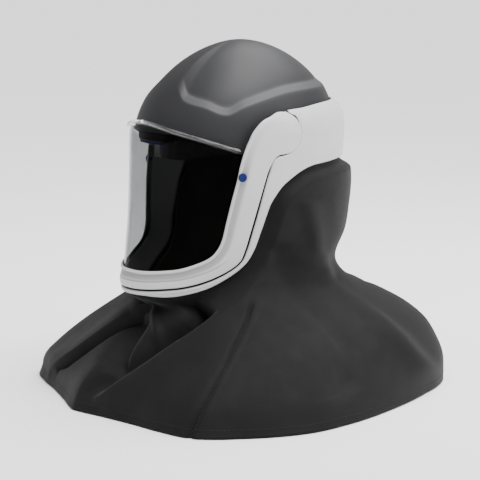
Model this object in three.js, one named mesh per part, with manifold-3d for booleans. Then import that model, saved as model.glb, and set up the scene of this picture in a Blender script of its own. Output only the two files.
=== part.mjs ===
// Powered respirator helmet: a dark crown shell, a light-grey collar frame, a lift-up visor unit and a cloth shroud.
// Millimetres, +Z up. The wearer looks along -Y and the wearer's left is +X.
// Heights and depths are measured from the middle of the skin's widest level, just below the visor's pivot axis.
// A turn is an angle in degrees round the helmet from the front midline, 90 at the wearer's left side.
import * as THREE from 'three';
import { mergeVertices } from 'three/addons/utils/BufferGeometryUtils.js';
import Module from 'manifold-3d';

const wasm = await Module();
wasm.setup();

// Outer skin that the collar frame, the visor frame and the visor share
const skinSide = 118;
const skinFront = 130;
const skinRear = 154;
const faceDrop = 168;

// Walls and clearances
const fitGap = 0.4;
const seamGap = 0.9;
const frameWall = 2.8;
const collarWall = 3;
const visorGap = 0.6;
const visorWall = 2;
const clothWall = 2;

// Crown shell
const crownSide = 103;
const crownFront = 122.5;
const crownRear = 139;
const crownTop = 109;
const crownLean = 11;
const crownFullness = 1.82;
const crownWall = 3;
const ledgeStep = 3;
const ledgeBand = 8.5;

// Visor hinge, rail and fasteners
const pivotBack = 1;
const pivotRise = 4;
const armEndRadius = 25;
const archAngle = 64;
const archFlare = 0.06;
const postRadius = 6;
const hubRadius = 11;
const hingeClearance = 0.35;
const railHeight = 7;
const railDepth = 5.4;
const buttonRadius = 5.2;
const buttonHeight = 2.4;
const buttonStemRadius = 2;
const buttonTurn = 66.4;
const buttonLevel = -0.272;

// Face seal
const sealWall = 1.6;
const sealDepth = 33;
const sealBrowDepth = 56;

// Head harness and air outlet
const bandSide = 78;
const bandFront = 90;
const bandRear = 106;
const bandHeight = 30;
const bandWall = 2.6;
const bandTop = 6;
const browPadDrop = 8;
const keyTurns = [46, -46, 138, -138];
const keySpan = 8;
const keyLow = -1;
const keyHigh = 5;
const ductTurn = 19;
const ductDepth = 15;
const ductHeight = 14;
const ductTop = 6;
const deflectorTurn = 14;
const deflectorHeight = 3;
const deflectorDepth = 12;

// Shroud
const hemRadius = 254;
const hemDrop = 324;
const hemBack = 13;
const clothTuck = 9;
const clothGap = 0.8;
const clothBreak = 14;
const leanStart = 0.54;

// Where the wearer's head sits, below and behind the middle of the skin's widest level
const seatBack = 8;
const seatDrop = 9;

// Sections of the skin: level is height as a share of faceDrop, the rest are shares of the skin's three reaches
const skinSections = [
  { level: -1.25, side: 0.64, front: 1.09, rear: 0.97 },
  { level: -1.1, side: 0.737, front: 1.157, rear: 0.97 },
  { level: -1.0, side: 0.78, front: 1.146, rear: 0.97 },
  { level: -0.85, side: 0.839, front: 1.11, rear: 0.97 },
  { level: -0.6, side: 0.915, front: 1.058, rear: 0.97 },
  { level: -0.3, side: 0.983, front: 1.02, rear: 0.972 },
  { level: 0.0, side: 1.0, front: 1.0, rear: 1.0 },
  { level: 0.1, side: 0.98, front: 0.985, rear: 0.988 },
  { level: 0.16, side: 0.935, front: 0.965, rear: 0.955 },
  { level: 0.22, side: 0.862, front: 0.93, rear: 0.888 },
];

// Stations round half of the face, from the chin's midline up to the arm: the opening, the seam and the cloth line
const faceStations = [
  { openTurn: 0, openLevel: -0.958, seamTurn: 0, seamLevel: -1.094, clothTurn: 0, clothLevel: -1.142 },
  { openTurn: 15, openLevel: -0.958, seamTurn: 17, seamLevel: -1.092, clothTurn: 17.5, clothLevel: -1.142 },
  { openTurn: 29, openLevel: -0.948, seamTurn: 33.4, seamLevel: -1.08, clothTurn: 34, clothLevel: -1.147 },
  { openTurn: 40, openLevel: -0.932, seamTurn: 45, seamLevel: -1.064, clothTurn: 46, clothLevel: -1.128 },
  { openTurn: 49.4, openLevel: -0.893, seamTurn: 56, seamLevel: -1.026, clothTurn: 57.5, clothLevel: -1.085 },
  { openTurn: 55.5, openLevel: -0.85, seamTurn: 65.3, seamLevel: -0.966, clothTurn: 67, clothLevel: -1.012 },
  { openTurn: 58.6, openLevel: -0.79, seamTurn: 71.4, seamLevel: -0.894, clothTurn: 74.2, clothLevel: -0.925 },
  { openTurn: 60, openLevel: -0.72, seamTurn: 73.2, seamLevel: -0.805, clothTurn: 78, clothLevel: -0.82 },
  { openTurn: 60.6, openLevel: -0.61, seamTurn: 74.6, seamLevel: -0.67, clothTurn: 80.3, clothLevel: -0.68 },
  { openTurn: 62, openLevel: -0.44, seamTurn: 77.1, seamLevel: -0.46, clothTurn: 83.5, clothLevel: -0.5 },
  { openTurn: 63.9, openLevel: -0.288, seamTurn: 79.2, seamLevel: -0.318, clothTurn: 86.5, clothLevel: -0.42 },
  { openTurn: 65.2, openLevel: -0.18, seamTurn: 81.1, seamLevel: -0.228, clothTurn: 89.2, clothLevel: -0.37 },
];

// Stations over the arm: angles about the pivot from straight back, reaches as shares of armEndRadius
const armStations = [
  { upperAngle: 199.6, upperReach: 2.19, lowerAngle: 244.4, lowerReach: 1.352 },
  { upperAngle: 189.5, upperReach: 1.92, lowerAngle: 253, lowerReach: 1.076 },
  { upperAngle: 174, upperReach: 1.64, lowerAngle: 268, lowerReach: 1 },
  { upperAngle: 152, upperReach: 1.3, lowerAngle: 288, lowerReach: 1 },
  { upperAngle: 127.4, upperReach: 1.03, lowerAngle: 309, lowerReach: 1 },
  { upperAngle: 102, upperReach: 1, lowerAngle: 330, lowerReach: 1 },
  { upperAngle: 76, upperReach: 1, lowerAngle: 350, lowerReach: 1 },
  { upperAngle: 51, upperReach: 1, lowerAngle: 368, lowerReach: 1 },
  { upperAngle: 27, upperReach: 1, lowerAngle: 387, lowerReach: 1 },
];

// Stations of the collar under the arm's round end: angle and reach of its edge there, and the turn of the cloth below
const collarStations = [
  { edgeAngle: 244.4, edgeReach: 1.352, clothTurn: 90.4 },
  { edgeAngle: 253, edgeReach: 1.076, clothTurn: 91.5 },
  { edgeAngle: 268, edgeReach: 1, clothTurn: 93.2 },
  { edgeAngle: 290, edgeReach: 1, clothTurn: 95.2 },
  { edgeAngle: 313, edgeReach: 1, clothTurn: 97.2 },
  { edgeAngle: 337, edgeReach: 1, clothTurn: 99 },
];

// Upper edge of the collar behind the arm
const collarTop = [
  { turn: 92, level: 0.175 },
  { turn: 97.5, level: 0.182 },
  { turn: 106, level: 0.194 },
  { turn: 117, level: 0.206 },
  { turn: 130, level: 0.212 },
  { turn: 180, level: 0.212 },
];

// Line where the cloth comes out from under the collar, behind the face
const clothRearLine = [
  { turn: 92.9, level: -0.324 },
  { turn: 100.3, level: -0.262 },
  { turn: 108, level: -0.23 },
  { turn: 118, level: -0.223 },
  { turn: 133, level: -0.218 },
  { turn: 180, level: -0.215 },
];

// Centre line of the rail on the visor's top edge
const railLine = [
  { turn: 0, level: 0.093 },
  { turn: 12, level: 0.08 },
  { turn: 26, level: 0.044 },
  { turn: 43.5, level: -0.008 },
  { turn: 61.6, level: -0.077 },
  { turn: 72, level: -0.115 },
];

// Columns of the visor from its midline to its side edge
const visorStations = [
  { lowTurn: 0, lowLevel: -0.995, highTurn: 0 },
  { lowTurn: 14, lowLevel: -0.994, highTurn: 13 },
  { lowTurn: 28, lowLevel: -0.982, highTurn: 26 },
  { lowTurn: 40, lowLevel: -0.957, highTurn: 39 },
  { lowTurn: 50, lowLevel: -0.915, highTurn: 51 },
  { lowTurn: 58, lowLevel: -0.855, highTurn: 61 },
  { lowTurn: 64.5, lowLevel: -0.78, highTurn: 69.5 },
];

// Base edge of the crown shell and the lower line of its ledge as shares of crownTop, with how much of the step shows
const crownStations = [
  { turn: 0, base: 0.035, ledge: 0.56, step: 0 },
  { turn: 14, base: 0.03, ledge: 0.54, step: 0 },
  { turn: 20, base: 0.025, ledge: 0.47, step: 0.5 },
  { turn: 27, base: 0.01, ledge: 0.38, step: 1 },
  { turn: 44, base: -0.06, ledge: 0.306, step: 1 },
  { turn: 57.5, base: -0.13, ledge: 0.235, step: 1 },
  { turn: 68, base: -0.2, ledge: 0.315, step: 1 },
  { turn: 82, base: -0.25, ledge: 0.387, step: 1 },
  { turn: 102, base: -0.23, ledge: 0.45, step: 1 },
  { turn: 142, base: -0.1, ledge: 0.468, step: 1 },
  { turn: 180, base: -0.08, ledge: 0.47, step: 1 },
];

// Sections of the cloth: drop as a share of hemDrop, reaches as shares of hemRadius, back as a share of hemBack
const clothSections = [
  { drop: 0.1, side: 0.475, front: 0.5, rear: 0.64, back: 0 },
  { drop: 0.2, side: 0.475, front: 0.5, rear: 0.655, back: 0 },
  { drop: 0.3, side: 0.46, front: 0.51, rear: 0.65, back: 0 },
  { drop: 0.4, side: 0.435, front: 0.53, rear: 0.635, back: 0 },
  { drop: 0.5, side: 0.415, front: 0.55, rear: 0.575, back: 0 },
  { drop: 0.56, side: 0.43, front: 0.54, rear: 0.6, back: 0.1 },
  { drop: 0.61, side: 0.495, front: 0.5, rear: 0.675, back: 0.3 },
  { drop: 0.64, side: 0.56, front: 0.49, rear: 0.765, back: 0.4 },
  { drop: 0.67, side: 0.635, front: 0.53, rear: 0.83, back: 0.5 },
  { drop: 0.715, side: 0.73, front: 0.605, rear: 0.91, back: 0.65 },
  { drop: 0.775, side: 0.825, front: 0.72, rear: 0.98, back: 0.8 },
  { drop: 0.84, side: 0.9, front: 0.84, rear: 1.005, back: 0.9 },
  { drop: 0.91, side: 0.96, front: 0.945, rear: 1.015, back: 1 },
  { drop: 1.0, side: 1.0, front: 1.0, rear: 1.0, back: 1 },
];

// Columns of the cloth lean with its main folds: the turn of some of them at the collar and at the hem
const clothColumns = [
  { column: 0, topTurn: -180, hemTurn: -180 },
  { column: 8, topTurn: -112, hemTurn: -122 },
  { column: 18, topTurn: -64, hemTurn: -68 },
  { column: 32, topTurn: 14, hemTurn: -20 },
  { column: 43, topTurn: 66, hemTurn: 8 },
  { column: 55, topTurn: 112, hemTurn: 134 },
  { column: 63, topTurn: 180, hemTurn: 180 },
];

// How far the hem stands out at each turn, as a share of hemRadius
const hemStations = [
  { turn: 0, reach: 0.945 },
  { turn: 12, reach: 0.91 },
  { turn: 24, reach: 0.92 },
  { turn: 34, reach: 0.97 },
  { turn: 45, reach: 1.035 },
  { turn: 58, reach: 1.015 },
  { turn: 75, reach: 0.985 },
  { turn: 92, reach: 0.925 },
  { turn: 111, reach: 0.9 },
  { turn: 130, reach: 0.94 },
  { turn: 149, reach: 1.035 },
  { turn: 165, reach: 1.04 },
  { turn: 180, reach: 1.02 },
];

// Folds of the cloth along lines from one turn and drop to another, bowed sideways at their middle
// Stand is the height in millimetres, below zero for a valley, and left and right are its widths either side
const foldLines = [
  { fromTurn: 8, fromDrop: 0.6, toTurn: -32, toDrop: 0.98, bow: 1, stand: 10, left: 38, right: 22 },
  { fromTurn: 18, fromDrop: 0.62, toTurn: -18, toDrop: 0.95, bow: 1, stand: -8, left: 16, right: 24 },
  { fromTurn: 62, fromDrop: 0.56, toTurn: 8, toDrop: 0.98, bow: -5, stand: 10, left: 20, right: 48 },
  { fromTurn: 52, fromDrop: 0.58, toTurn: 12, toDrop: 0.86, bow: -4, stand: -13, left: 22, right: 18 },
  { fromTurn: 104, fromDrop: 0.16, toTurn: 122, toDrop: 0.5, bow: 1, stand: 5, left: 14, right: 12 },
  { fromTurn: 112, fromDrop: 0.45, toTurn: 138, toDrop: 0.98, bow: -3, stand: 9, left: 26, right: 22 },
  { fromTurn: 124, fromDrop: 0.56, toTurn: 88, toDrop: 0.9, bow: 2, stand: -9, left: 26, right: 24 },
  { fromTurn: 168, fromDrop: 0.3, toTurn: 176, toDrop: 0.95, bow: 2, stand: -10, left: 28, right: 24 },
  { fromTurn: -150, fromDrop: 0.4, toTurn: -158, toDrop: 0.98, bow: 2, stand: 9, left: 24, right: 26 },
  { fromTurn: -118, fromDrop: 0.35, toTurn: -128, toDrop: 0.95, bow: -2, stand: -9, left: 24, right: 22 },
  { fromTurn: -100, fromDrop: 0.25, toTurn: -92, toDrop: 0.9, bow: 2, stand: 8, left: 20, right: 26 },
  { fromTurn: -64, fromDrop: 0.56, toTurn: -58, toDrop: 0.96, bow: 3, stand: -10, left: 22, right: 26 },
];

const radians = (degrees) => (degrees * Math.PI) / 180;
const fromFront = (turn) => Math.abs(((turn + 540) % 360) - 180);
const blend = (from, to, share) => from + (to - from) * share;
const ease = (share) => {
  const kept = Math.min(Math.max(share, 0), 1);
  return kept * kept * (3 - 2 * kept);
};

// A smooth curve through every column of a table, read at one value of its key column
function readTable(rows, key, at) {
  const last = rows.length - 1;
  let low = 0;
  while (low < last - 1 && rows[low + 1][key] <= at) low += 1;
  const [start, end] = [rows[low], rows[low + 1]];
  const span = end[key] - start[key];
  const share = Math.min(Math.max((at - start[key]) / span, 0), 1);
  const slope = (row, column) => {
    const [before, after] = [rows[Math.max(row - 1, 0)], rows[Math.min(row + 1, last)]];
    return (after[column] - before[column]) / (after[key] - before[key]);
  };
  const read = {};
  for (const column of Object.keys(start)) {
    const leave = slope(low, column) * span;
    const arrive = slope(low + 1, column) * span;
    const rise = end[column] - start[column];
    const bend = share * share * (3 - 2 * share);
    read[column] = start[column] + rise * bend
      + leave * share * (1 - share) ** 2 - arrive * share * share * (1 - share);
  }
  return read;
}

// The same, read at a share of the way through the rows, whatever their spacing
function readAlong(rows, share) {
  const counted = rows.map((row, count) => ({ ...row, count }));
  return readTable(counted, 'count', share * (rows.length - 1));
}

// A point on a surface, moved inwards along the surface's own normal
function insetPoint(surface, turn, height, inset) {
  const point = surface(turn, height);
  if (inset === 0) return point;
  const nudge = 0.4;
  const across = surface(turn + nudge, height).sub(surface(turn - nudge, height));
  const upwards = surface(turn, height + nudge).sub(surface(turn, height - nudge));
  return point.addScaledVector(across.cross(upwards).normalize(), -inset);
}

// Outer skin, by turn and by height above its widest level
function skinSurface(turn, height) {
  const section = readTable(skinSections, 'level', height / faceDrop);
  const angle = radians(turn);
  const reach = Math.cos(angle) > 0 ? skinFront * section.front : skinRear * section.rear;
  return new THREE.Vector3(skinSide * section.side * Math.sin(angle), -reach * Math.cos(angle), height);
}
// Walls near the pivots lie square to the pivot axis, so that the arm's round end turns freely in the collar
function skinPoint(turn, height, inset) {
  const outer = skinSurface(turn, height);
  const sloped = insetPoint(skinSurface, turn, height, inset);
  const square = outer.clone().setX(outer.x - Math.sign(outer.x) * inset);
  const away = Math.hypot(outer.y - pivotBack, outer.z - pivotRise);
  return sloped.lerp(square, ease((2.1 * armEndRadius - away) / armEndRadius));
}

// Turn and height of a point that lies at an angle about the pivot axis, 0 straight back and 90 straight up
function aboutPivot(angle, reach) {
  const back = pivotBack + reach * Math.cos(radians(angle));
  const height = pivotRise + reach * Math.sin(radians(angle));
  const section = readTable(skinSections, 'level', height / faceDrop);
  const depth = back < 0 ? skinFront * section.front : skinRear * section.rear;
  return { turn: 90 + Math.asin(back / depth) * (180 / Math.PI), height };
}

// A closed sheet from one or more grids that share edges: place(u, v, face) gives the outer face at 0, the inner at 1
function thickSheet(...grids) {
  const faces = [[], []];
  const triangles = [];
  const node = (grid, column, row) => {
    const [u, v] = [column / grid.columns, row / grid.rows];
    const point = grid.place(u, v, 0);
    const known = faces[0].findIndex((other) => other.distanceToSquared(point) < 1e-4);
    if (known >= 0) return known;
    faces[1].push(grid.place(u, v, 1));
    return faces[0].push(point) - 1;
  };
  for (const grid of grids) {
    for (let column = 0; column < grid.columns; column += 1) {
      for (let row = 0; row < grid.rows; row += 1) {
        const corners = [[0, 0], [1, 0], [1, 1], [0, 1]].map(([across, down]) => node(grid, column + across, row + down));
        if (grid.flipped) corners.reverse();
        triangles.push([corners[0], corners[1], corners[2]], [corners[0], corners[2], corners[3]]);
      }
    }
  }
  const whole = triangles.filter(([a, b, c]) => a !== b && b !== c && c !== a);
  const used = new Set(whole.flatMap(([a, b, c]) => [`${a} ${b}`, `${b} ${c}`, `${c} ${a}`]));
  const count = faces[0].length;
  const indices = [];
  for (const [a, b, c] of whole) {
    indices.push(a, b, c, c + count, b + count, a + count);
    for (const [from, to] of [[a, b], [b, c], [c, a]]) {
      if (!used.has(`${to} ${from}`)) indices.push(from, from + count, to, to, from + count, to + count);
    }
  }
  const raw = new THREE.BufferGeometry();
  raw.setAttribute('position', new THREE.Float32BufferAttribute(faces.flat().flatMap((point) => point.toArray()), 3));
  raw.setIndex(indices);
  return closedBody(raw);
}

// Merged vertices, no empty triangles and faces pointing out
function closedBody(raw) {
  const merged = mergeVertices(raw, 1e-3);
  const source = Array.from(merged.index.array);
  const corner = merged.attributes.position;
  const [a, b, c] = [new THREE.Vector3(), new THREE.Vector3(), new THREE.Vector3()];
  const kept = [];
  let volume = 0;
  for (let start = 0; start < source.length; start += 3) {
    const [first, second, third] = source.slice(start, start + 3);
    if (first !== second && second !== third && third !== first) {
      kept.push(first, second, third);
      a.fromBufferAttribute(corner, first);
      b.fromBufferAttribute(corner, second);
      c.fromBufferAttribute(corner, third);
      volume += a.dot(b.cross(c));
    }
  }
  merged.setIndex(volume < 0 ? kept.reverse() : kept);
  return merged;
}

// Solids for joining and cutting
function solidOf(geometry) {
  const bare = geometry.clone();
  bare.deleteAttribute('normal');
  bare.deleteAttribute('uv');
  const merged = bare.index && Object.keys(bare.attributes).length === 1 ? mergeVertices(bare, 1e-3) : bare;
  return new wasm.Manifold(new wasm.Mesh({
    numProp: 3,
    vertProperties: new Float32Array(merged.attributes.position.array),
    triVerts: new Uint32Array(merged.index.array),
  }));
}

function geometryOf(solid) {
  const { vertProperties, triVerts } = solid.getMesh();
  const geometry = new THREE.BufferGeometry();
  geometry.setAttribute('position', new THREE.Float32BufferAttribute(vertProperties, 3));
  geometry.setIndex(Array.from(triVerts));
  return geometry;
}

// A round bar along X between two distances from the middle plane, on the wearer's left or right
function sideBar(radius, inner, outer, side, sides = 16) {
  const bar = new THREE.CylinderGeometry(radius, radius, outer - inner, sides);
  bar.rotateZ(Math.PI / 2);
  bar.translate((side * (inner + outer)) / 2, pivotBack, pivotRise);
  return solidOf(bar);
}

// Edges of the visor frame, from the chin's midline to the tip of the arm
const frameRows = faceStations
  .map((row) => ({
    innerTurn: row.openTurn,
    innerHeight: row.openLevel * faceDrop,
    outerTurn: row.seamTurn,
    outerHeight: row.seamLevel * faceDrop,
  }))
  .concat(armStations.map((row) => {
    const upper = aboutPivot(row.upperAngle, row.upperReach * armEndRadius);
    const lower = aboutPivot(row.lowerAngle, row.lowerReach * armEndRadius);
    return { innerTurn: upper.turn, innerHeight: upper.height, outerTurn: lower.turn, outerHeight: lower.height };
  }));

// Line of the cloth under the collar and the collar's upper edge, as heights at a turn
const clothLine = faceStations
  .map((row) => ({ turn: row.clothTurn, level: row.clothLevel }))
  .concat(clothRearLine);
const clothLineAt = (turn) => readTable(clothLine, 'turn', turn).level * faceDrop;
const collarTopAt = (turn) => readTable(collarTop, 'turn', turn).level * faceDrop;

// Edges of the collar from the chin's midline to straight behind the arm: a seam side, seamGap clear of the frame,
// and a cloth side
const faceDegree = radians((skinSide + skinFront) / 2);
function steppedBack(row, gap) {
  const across = (row.outerTurn - row.innerTurn) * faceDegree;
  const down = row.outerHeight - row.innerHeight;
  const share = gap / Math.hypot(across, down);
  return {
    ...row,
    innerTurn: blend(row.innerTurn, row.outerTurn, share),
    innerHeight: blend(row.innerHeight, row.outerHeight, share),
  };
}

function collarRows() {
  const face = faceStations.map((row) => steppedBack({
    innerTurn: row.seamTurn,
    innerHeight: row.seamLevel * faceDrop,
    outerTurn: row.clothTurn,
    outerHeight: row.clothLevel * faceDrop,
  }, seamGap));
  const under = collarStations.map((row) => {
    const edge = aboutPivot(row.edgeAngle, row.edgeReach * armEndRadius + seamGap);
    const outerHeight = clothLineAt(row.clothTurn);
    return { innerTurn: edge.turn, innerHeight: edge.height, outerTurn: row.clothTurn, outerHeight };
  });
  const behind = aboutPivot(0, armEndRadius + seamGap);
  const outerHeight = clothLineAt(behind.turn);
  const last = { innerTurn: behind.turn, innerHeight: behind.height, outerTurn: behind.turn, outerHeight };
  return [...face, ...under, last];
}

// Crown dome, by turn and by share of the way from its base edge up to its top
function crownSurface(turn, height) {
  const rise = Math.min(Math.max(height / crownTop, 0), 1);
  const narrowing = (1 - rise ** crownFullness) ** (1 / crownFullness);
  const angle = radians(turn);
  const reach = Math.cos(angle) > 0 ? crownFront : crownRear;
  return new THREE.Vector3(
    crownSide * narrowing * Math.sin(angle),
    crownLean * rise - reach * narrowing * Math.cos(angle),
    height,
  );
}

// Materials
const materials = {
  shell: new THREE.MeshStandardMaterial({ color: 0x4c4c4f, roughness: 0.42, metalness: 0 }),
  frame: new THREE.MeshStandardMaterial({ color: 0xd4d4d6, roughness: 0.4, metalness: 0 }),
  clear: new THREE.MeshStandardMaterial({ color: 0xe8ecee, roughness: 0.08, metalness: 0, transparent: true, opacity: 0.3 }),
  cloth: new THREE.MeshStandardMaterial({ color: 0x333234, roughness: 0.95, metalness: 0 }),
  harness: new THREE.MeshStandardMaterial({ color: 0x2a2a2c, roughness: 0.6, metalness: 0 }),
  blue: new THREE.MeshStandardMaterial({ color: 0x1b58ab, roughness: 0.35, metalness: 0 }),
};

const helmet = new THREE.Group();
helmet.position.set(0, -seatBack, seatDrop);
function addPiece(name, geometry, material) {
  const mesh = new THREE.Mesh(geometry, material);
  mesh.name = name;
  helmet.add(mesh);
}

// A grid over one side of the helmet and its mirror image over the other
function bothSides(columns, rows, place) {
  return [1, -1].map((side) => ({
    columns,
    rows,
    flipped: side < 0,
    place: (u, v, face) => place(u, v, face).multiply(new THREE.Vector3(side, 1, 1)),
  }));
}

function visorFrame() {
  const sheet = thickSheet(...bothSides(32, 3, (u, v, face) => {
    const row = readAlong(frameRows, u);
    const turn = blend(row.innerTurn, row.outerTurn, v);
    return skinPoint(turn, blend(row.innerHeight, row.outerHeight, v), face * frameWall);
  }));
  let solid = solidOf(sheet);
  for (const side of [1, -1]) {
    const hubInner = crownSide + 2 * fitGap;
    const wallMiddle = skinSide - frameWall / 2;
    const boreBottom = skinSide - frameWall - fitGap;
    solid = solid.add(sideBar(hubRadius, hubInner, wallMiddle, side));
    solid = solid.subtract(sideBar(postRadius + hingeClearance, hubInner - 1, boreBottom, side));
    solid = solid.subtract(buttonHole(side));
  }
  return geometryOf(solid);
}

// Fastener of the visor: a round head on a stem that passes through the frame and the visor
function fastenerPlace(side) {
  const height = buttonLevel * faceDrop;
  const seat = skinPoint(side * buttonTurn, height, 0);
  const outwards = seat.clone().sub(skinPoint(side * buttonTurn, height, 1));
  return new THREE.Matrix4().compose(
    seat,
    new THREE.Quaternion().setFromUnitVectors(new THREE.Vector3(0, 1, 0), outwards.normalize()),
    new THREE.Vector3(1, 1, 1),
  );
}

const stemReach = frameWall + visorGap + visorWall;
function buttonHole(side) {
  const hole = new THREE.CylinderGeometry(
    buttonStemRadius + hingeClearance,
    buttonStemRadius + hingeClearance,
    4 * stemReach,
    10,
  );
  hole.applyMatrix4(fastenerPlace(side));
  return solidOf(hole);
}

function fastener(side) {
  const outline = [
    [0, -stemReach],
    [buttonStemRadius, -stemReach],
    [buttonStemRadius, fitGap],
    [buttonRadius, fitGap],
    [buttonRadius, buttonHeight * 0.6],
    [buttonRadius * 0.72, buttonHeight],
    [0, buttonHeight],
  ].map(([radius, height]) => new THREE.Vector2(radius, height));
  const button = new THREE.LatheGeometry(outline, 12);
  button.applyMatrix4(fastenerPlace(side));
  button.deleteAttribute('normal');
  button.deleteAttribute('uv');
  return closedBody(button);
}

function railHeightAt(turn) {
  return readTable(railLine, 'turn', fromFront(turn)).level * faceDrop;
}

function visor() {
  const inset = frameWall + visorGap;
  const sheet = thickSheet(...bothSides(14, 5, (u, v, face) => {
    const row = readAlong(visorStations, u);
    const turn = blend(row.lowTurn, row.highTurn, v);
    const high = railHeightAt(row.highTurn) - railHeight / 2 - fitGap;
    return skinPoint(turn, blend(row.lowLevel * faceDrop, high, v), inset + face * visorWall);
  }));
  return geometryOf(solidOf(sheet).subtract(buttonHole(1)).subtract(buttonHole(-1)));
}

function visorRail() {
  const railEnd = 64.6;
  const crestDrop = 1.6;
  return thickSheet({
    columns: 24,
    rows: 2,
    place: (u, v, face) => {
      const turn = blend(-railEnd, railEnd, u);
      const height = railHeightAt(turn) + railHeight * (v - 0.5);
      return skinPoint(turn, height, face ? fitGap + railDepth : crestDrop * Math.abs(2 * v - 1));
    },
  });
}

// The collar is three grids on each side that meet below, above and behind the arm's round end
function collarFrame() {
  const place = (turn, height, face) => skinPoint(turn, height, face * collarWall);
  const rimRows = collarRows();
  const divide = rimRows[rimRows.length - 1];
  const rim = bothSides(33, 3, (u, v, face) => {
    const row = readAlong(rimRows, u);
    const turn = blend(row.innerTurn, row.outerTurn, v);
    return place(turn, blend(row.innerHeight, row.outerHeight, v), face);
  });
  const arch = bothSides(5, 3, (u, v, face) => {
    const angle = u * archAngle;
    const swing = 1 + archFlare * ease((angle - 38) / (archAngle - 38));
    const edge = aboutPivot(angle, armEndRadius * swing + seamGap);
    return place(edge.turn, blend(edge.height, collarTopAt(edge.turn), v), face);
  });
  const rear = bothSides(14, 6, (u, v, face) => {
    const turn = blend(divide.innerTurn, 180, u);
    const [top, low] = [collarTopAt(turn), clothLineAt(turn)];
    const middle = blend(divide.innerHeight, (top + low) / 2, ease(3 * u));
    const height = v < 0.5 ? blend(top, middle, 2 * v) : blend(middle, low, 2 * v - 1);
    return place(turn, height, face);
  });
  return thickSheet(...rim, ...arch, ...rear);
}

function crownShell() {
  const rows = 10;
  const ledgeLow = 3;
  const ledgeHigh = 4;
  const sheet = thickSheet({
    columns: 52,
    rows,
    place: (u, v, face) => {
      const turn = blend(-180, 180, u);
      const row = Math.round(v * rows);
      if (row === rows) return new THREE.Vector3(0, crownLean, crownTop - face * crownWall);
      const station = readTable(crownStations, 'turn', fromFront(turn));
      const low = station.ledge * crownTop;
      const high = low + ledgeBand;
      const climb = (row - ledgeHigh) / (rows - ledgeHigh);
      let height = crownTop * Math.sin(blend(Math.asin(high / crownTop), Math.PI / 2, climb));
      if (row <= ledgeHigh) height = blend(low, high, (row - ledgeLow) / (ledgeHigh - ledgeLow));
      if (row < ledgeLow) height = blend(station.base * crownTop, low, row / ledgeLow);
      const set = row < ledgeHigh ? 0 : ledgeStep * station.step * ease(1.2 * (1 - climb));
      return insetPoint(crownSurface, turn, height, face * crownWall + set);
    },
  });
  let solid = solidOf(sheet);
  for (const side of [1, -1]) {
    const postEnd = skinSide - frameWall - 2 * fitGap;
    solid = solid.add(sideBar(postRadius, crownSide - crownWall / 2, postEnd, side));
  }
  return geometryOf(solid);
}

// The seal's section turns back on itself at the visor's opening: over is a share of the frame's width there
function sealPath(depth) {
  const behindCloth = collarWall + clothGap + clothWall + fitGap;
  const behindVisor = frameWall + visorGap + visorWall + fitGap;
  return [
    { over: 1.06, inset: behindCloth + fitGap },
    { over: 0.8, inset: behindVisor + fitGap },
    { over: 0.22, inset: behindVisor + fitGap },
    { over: 0.14, inset: behindVisor + 2 * sealWall },
    { over: 0.3, inset: behindVisor + depth * 0.45 },
    { over: 0.5, inset: behindVisor + depth * 0.85 },
  ];
}

function faceSeal() {
  const upperEnd = (faceStations.length - 1.7) / (frameRows.length - 1);
  const step = 0.02;
  return thickSheet(...bothSides(18, 5, (u, v, face) => {
    const path = sealPath(blend(sealDepth, sealBrowDepth, ease((u - 0.7) / 0.35)));
    const row = readAlong(frameRows, u * upperEnd);
    const width = Math.hypot((row.outerTurn - row.innerTurn) * faceDegree, row.outerHeight - row.innerHeight);
    const [here, before, after] = [v, Math.max(v - step, 0), Math.min(v + step, 1)].map((at) => readAlong(path, at));
    const along = new THREE.Vector2((after.over - before.over) * width, after.inset - before.inset).normalize();
    const over = here.over + (face * sealWall * along.y) / width;
    const inset = here.inset - face * sealWall * along.x;
    const turn = blend(row.innerTurn, row.outerTurn, over);
    return skinPoint(turn, blend(row.innerHeight, row.outerHeight, over), inset);
  }));
}

function bandSurface(turn, height) {
  const angle = radians(turn);
  const reach = Math.cos(angle) > 0 ? bandFront : bandRear;
  return new THREE.Vector3(bandSide * Math.sin(angle), -reach * Math.cos(angle), height);
}

function headband() {
  const ring = thickSheet({
    columns: 30,
    rows: 2,
    place: (u, v, face) => {
      const turn = blend(-180, 180, u);
      const brow = ease((50 - Math.abs(turn)) / 30);
      const low = bandTop - bandHeight - browPadDrop * brow;
      return insetPoint(bandSurface, turn, blend(low, bandTop, v), face * bandWall);
    },
  });
  let solid = solidOf(ring);
  for (const middle of keyTurns) {
    const key = thickSheet({
      columns: 2,
      rows: 1,
      place: (u, v, face) => {
        const turn = middle + (u - 0.5) * keySpan;
        const height = blend(keyLow, keyHigh, v);
        if (face) return insetPoint(bandSurface, turn, height, bandWall / 2);
        return insetPoint(crownSurface, turn, height, crownWall + 2 * fitGap);
      },
    });
    solid = solid.add(solidOf(key));
  }
  return geometryOf(solid);
}

function browDuct() {
  return thickSheet({
    columns: 10,
    rows: 1,
    place: (u, v, face) => {
      const turn = blend(-ductTurn, ductTurn, u);
      const height = blend(ductTop - ductHeight, ductTop, v);
      return insetPoint(crownSurface, turn, ductTop, crownWall + 2 * fitGap + face * ductDepth).setZ(height);
    },
  });
}

function airDeflector() {
  const top = ductTop - ductHeight - fitGap;
  return thickSheet({
    columns: 8,
    rows: 1,
    place: (u, v, face) => {
      const turn = blend(-deflectorTurn, deflectorTurn, u);
      const inset = crownWall + 2 * fitGap + face * deflectorDepth;
      return insetPoint(crownSurface, turn, ductTop, inset).setZ(blend(top - deflectorHeight, top, v));
    },
  });
}

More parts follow.
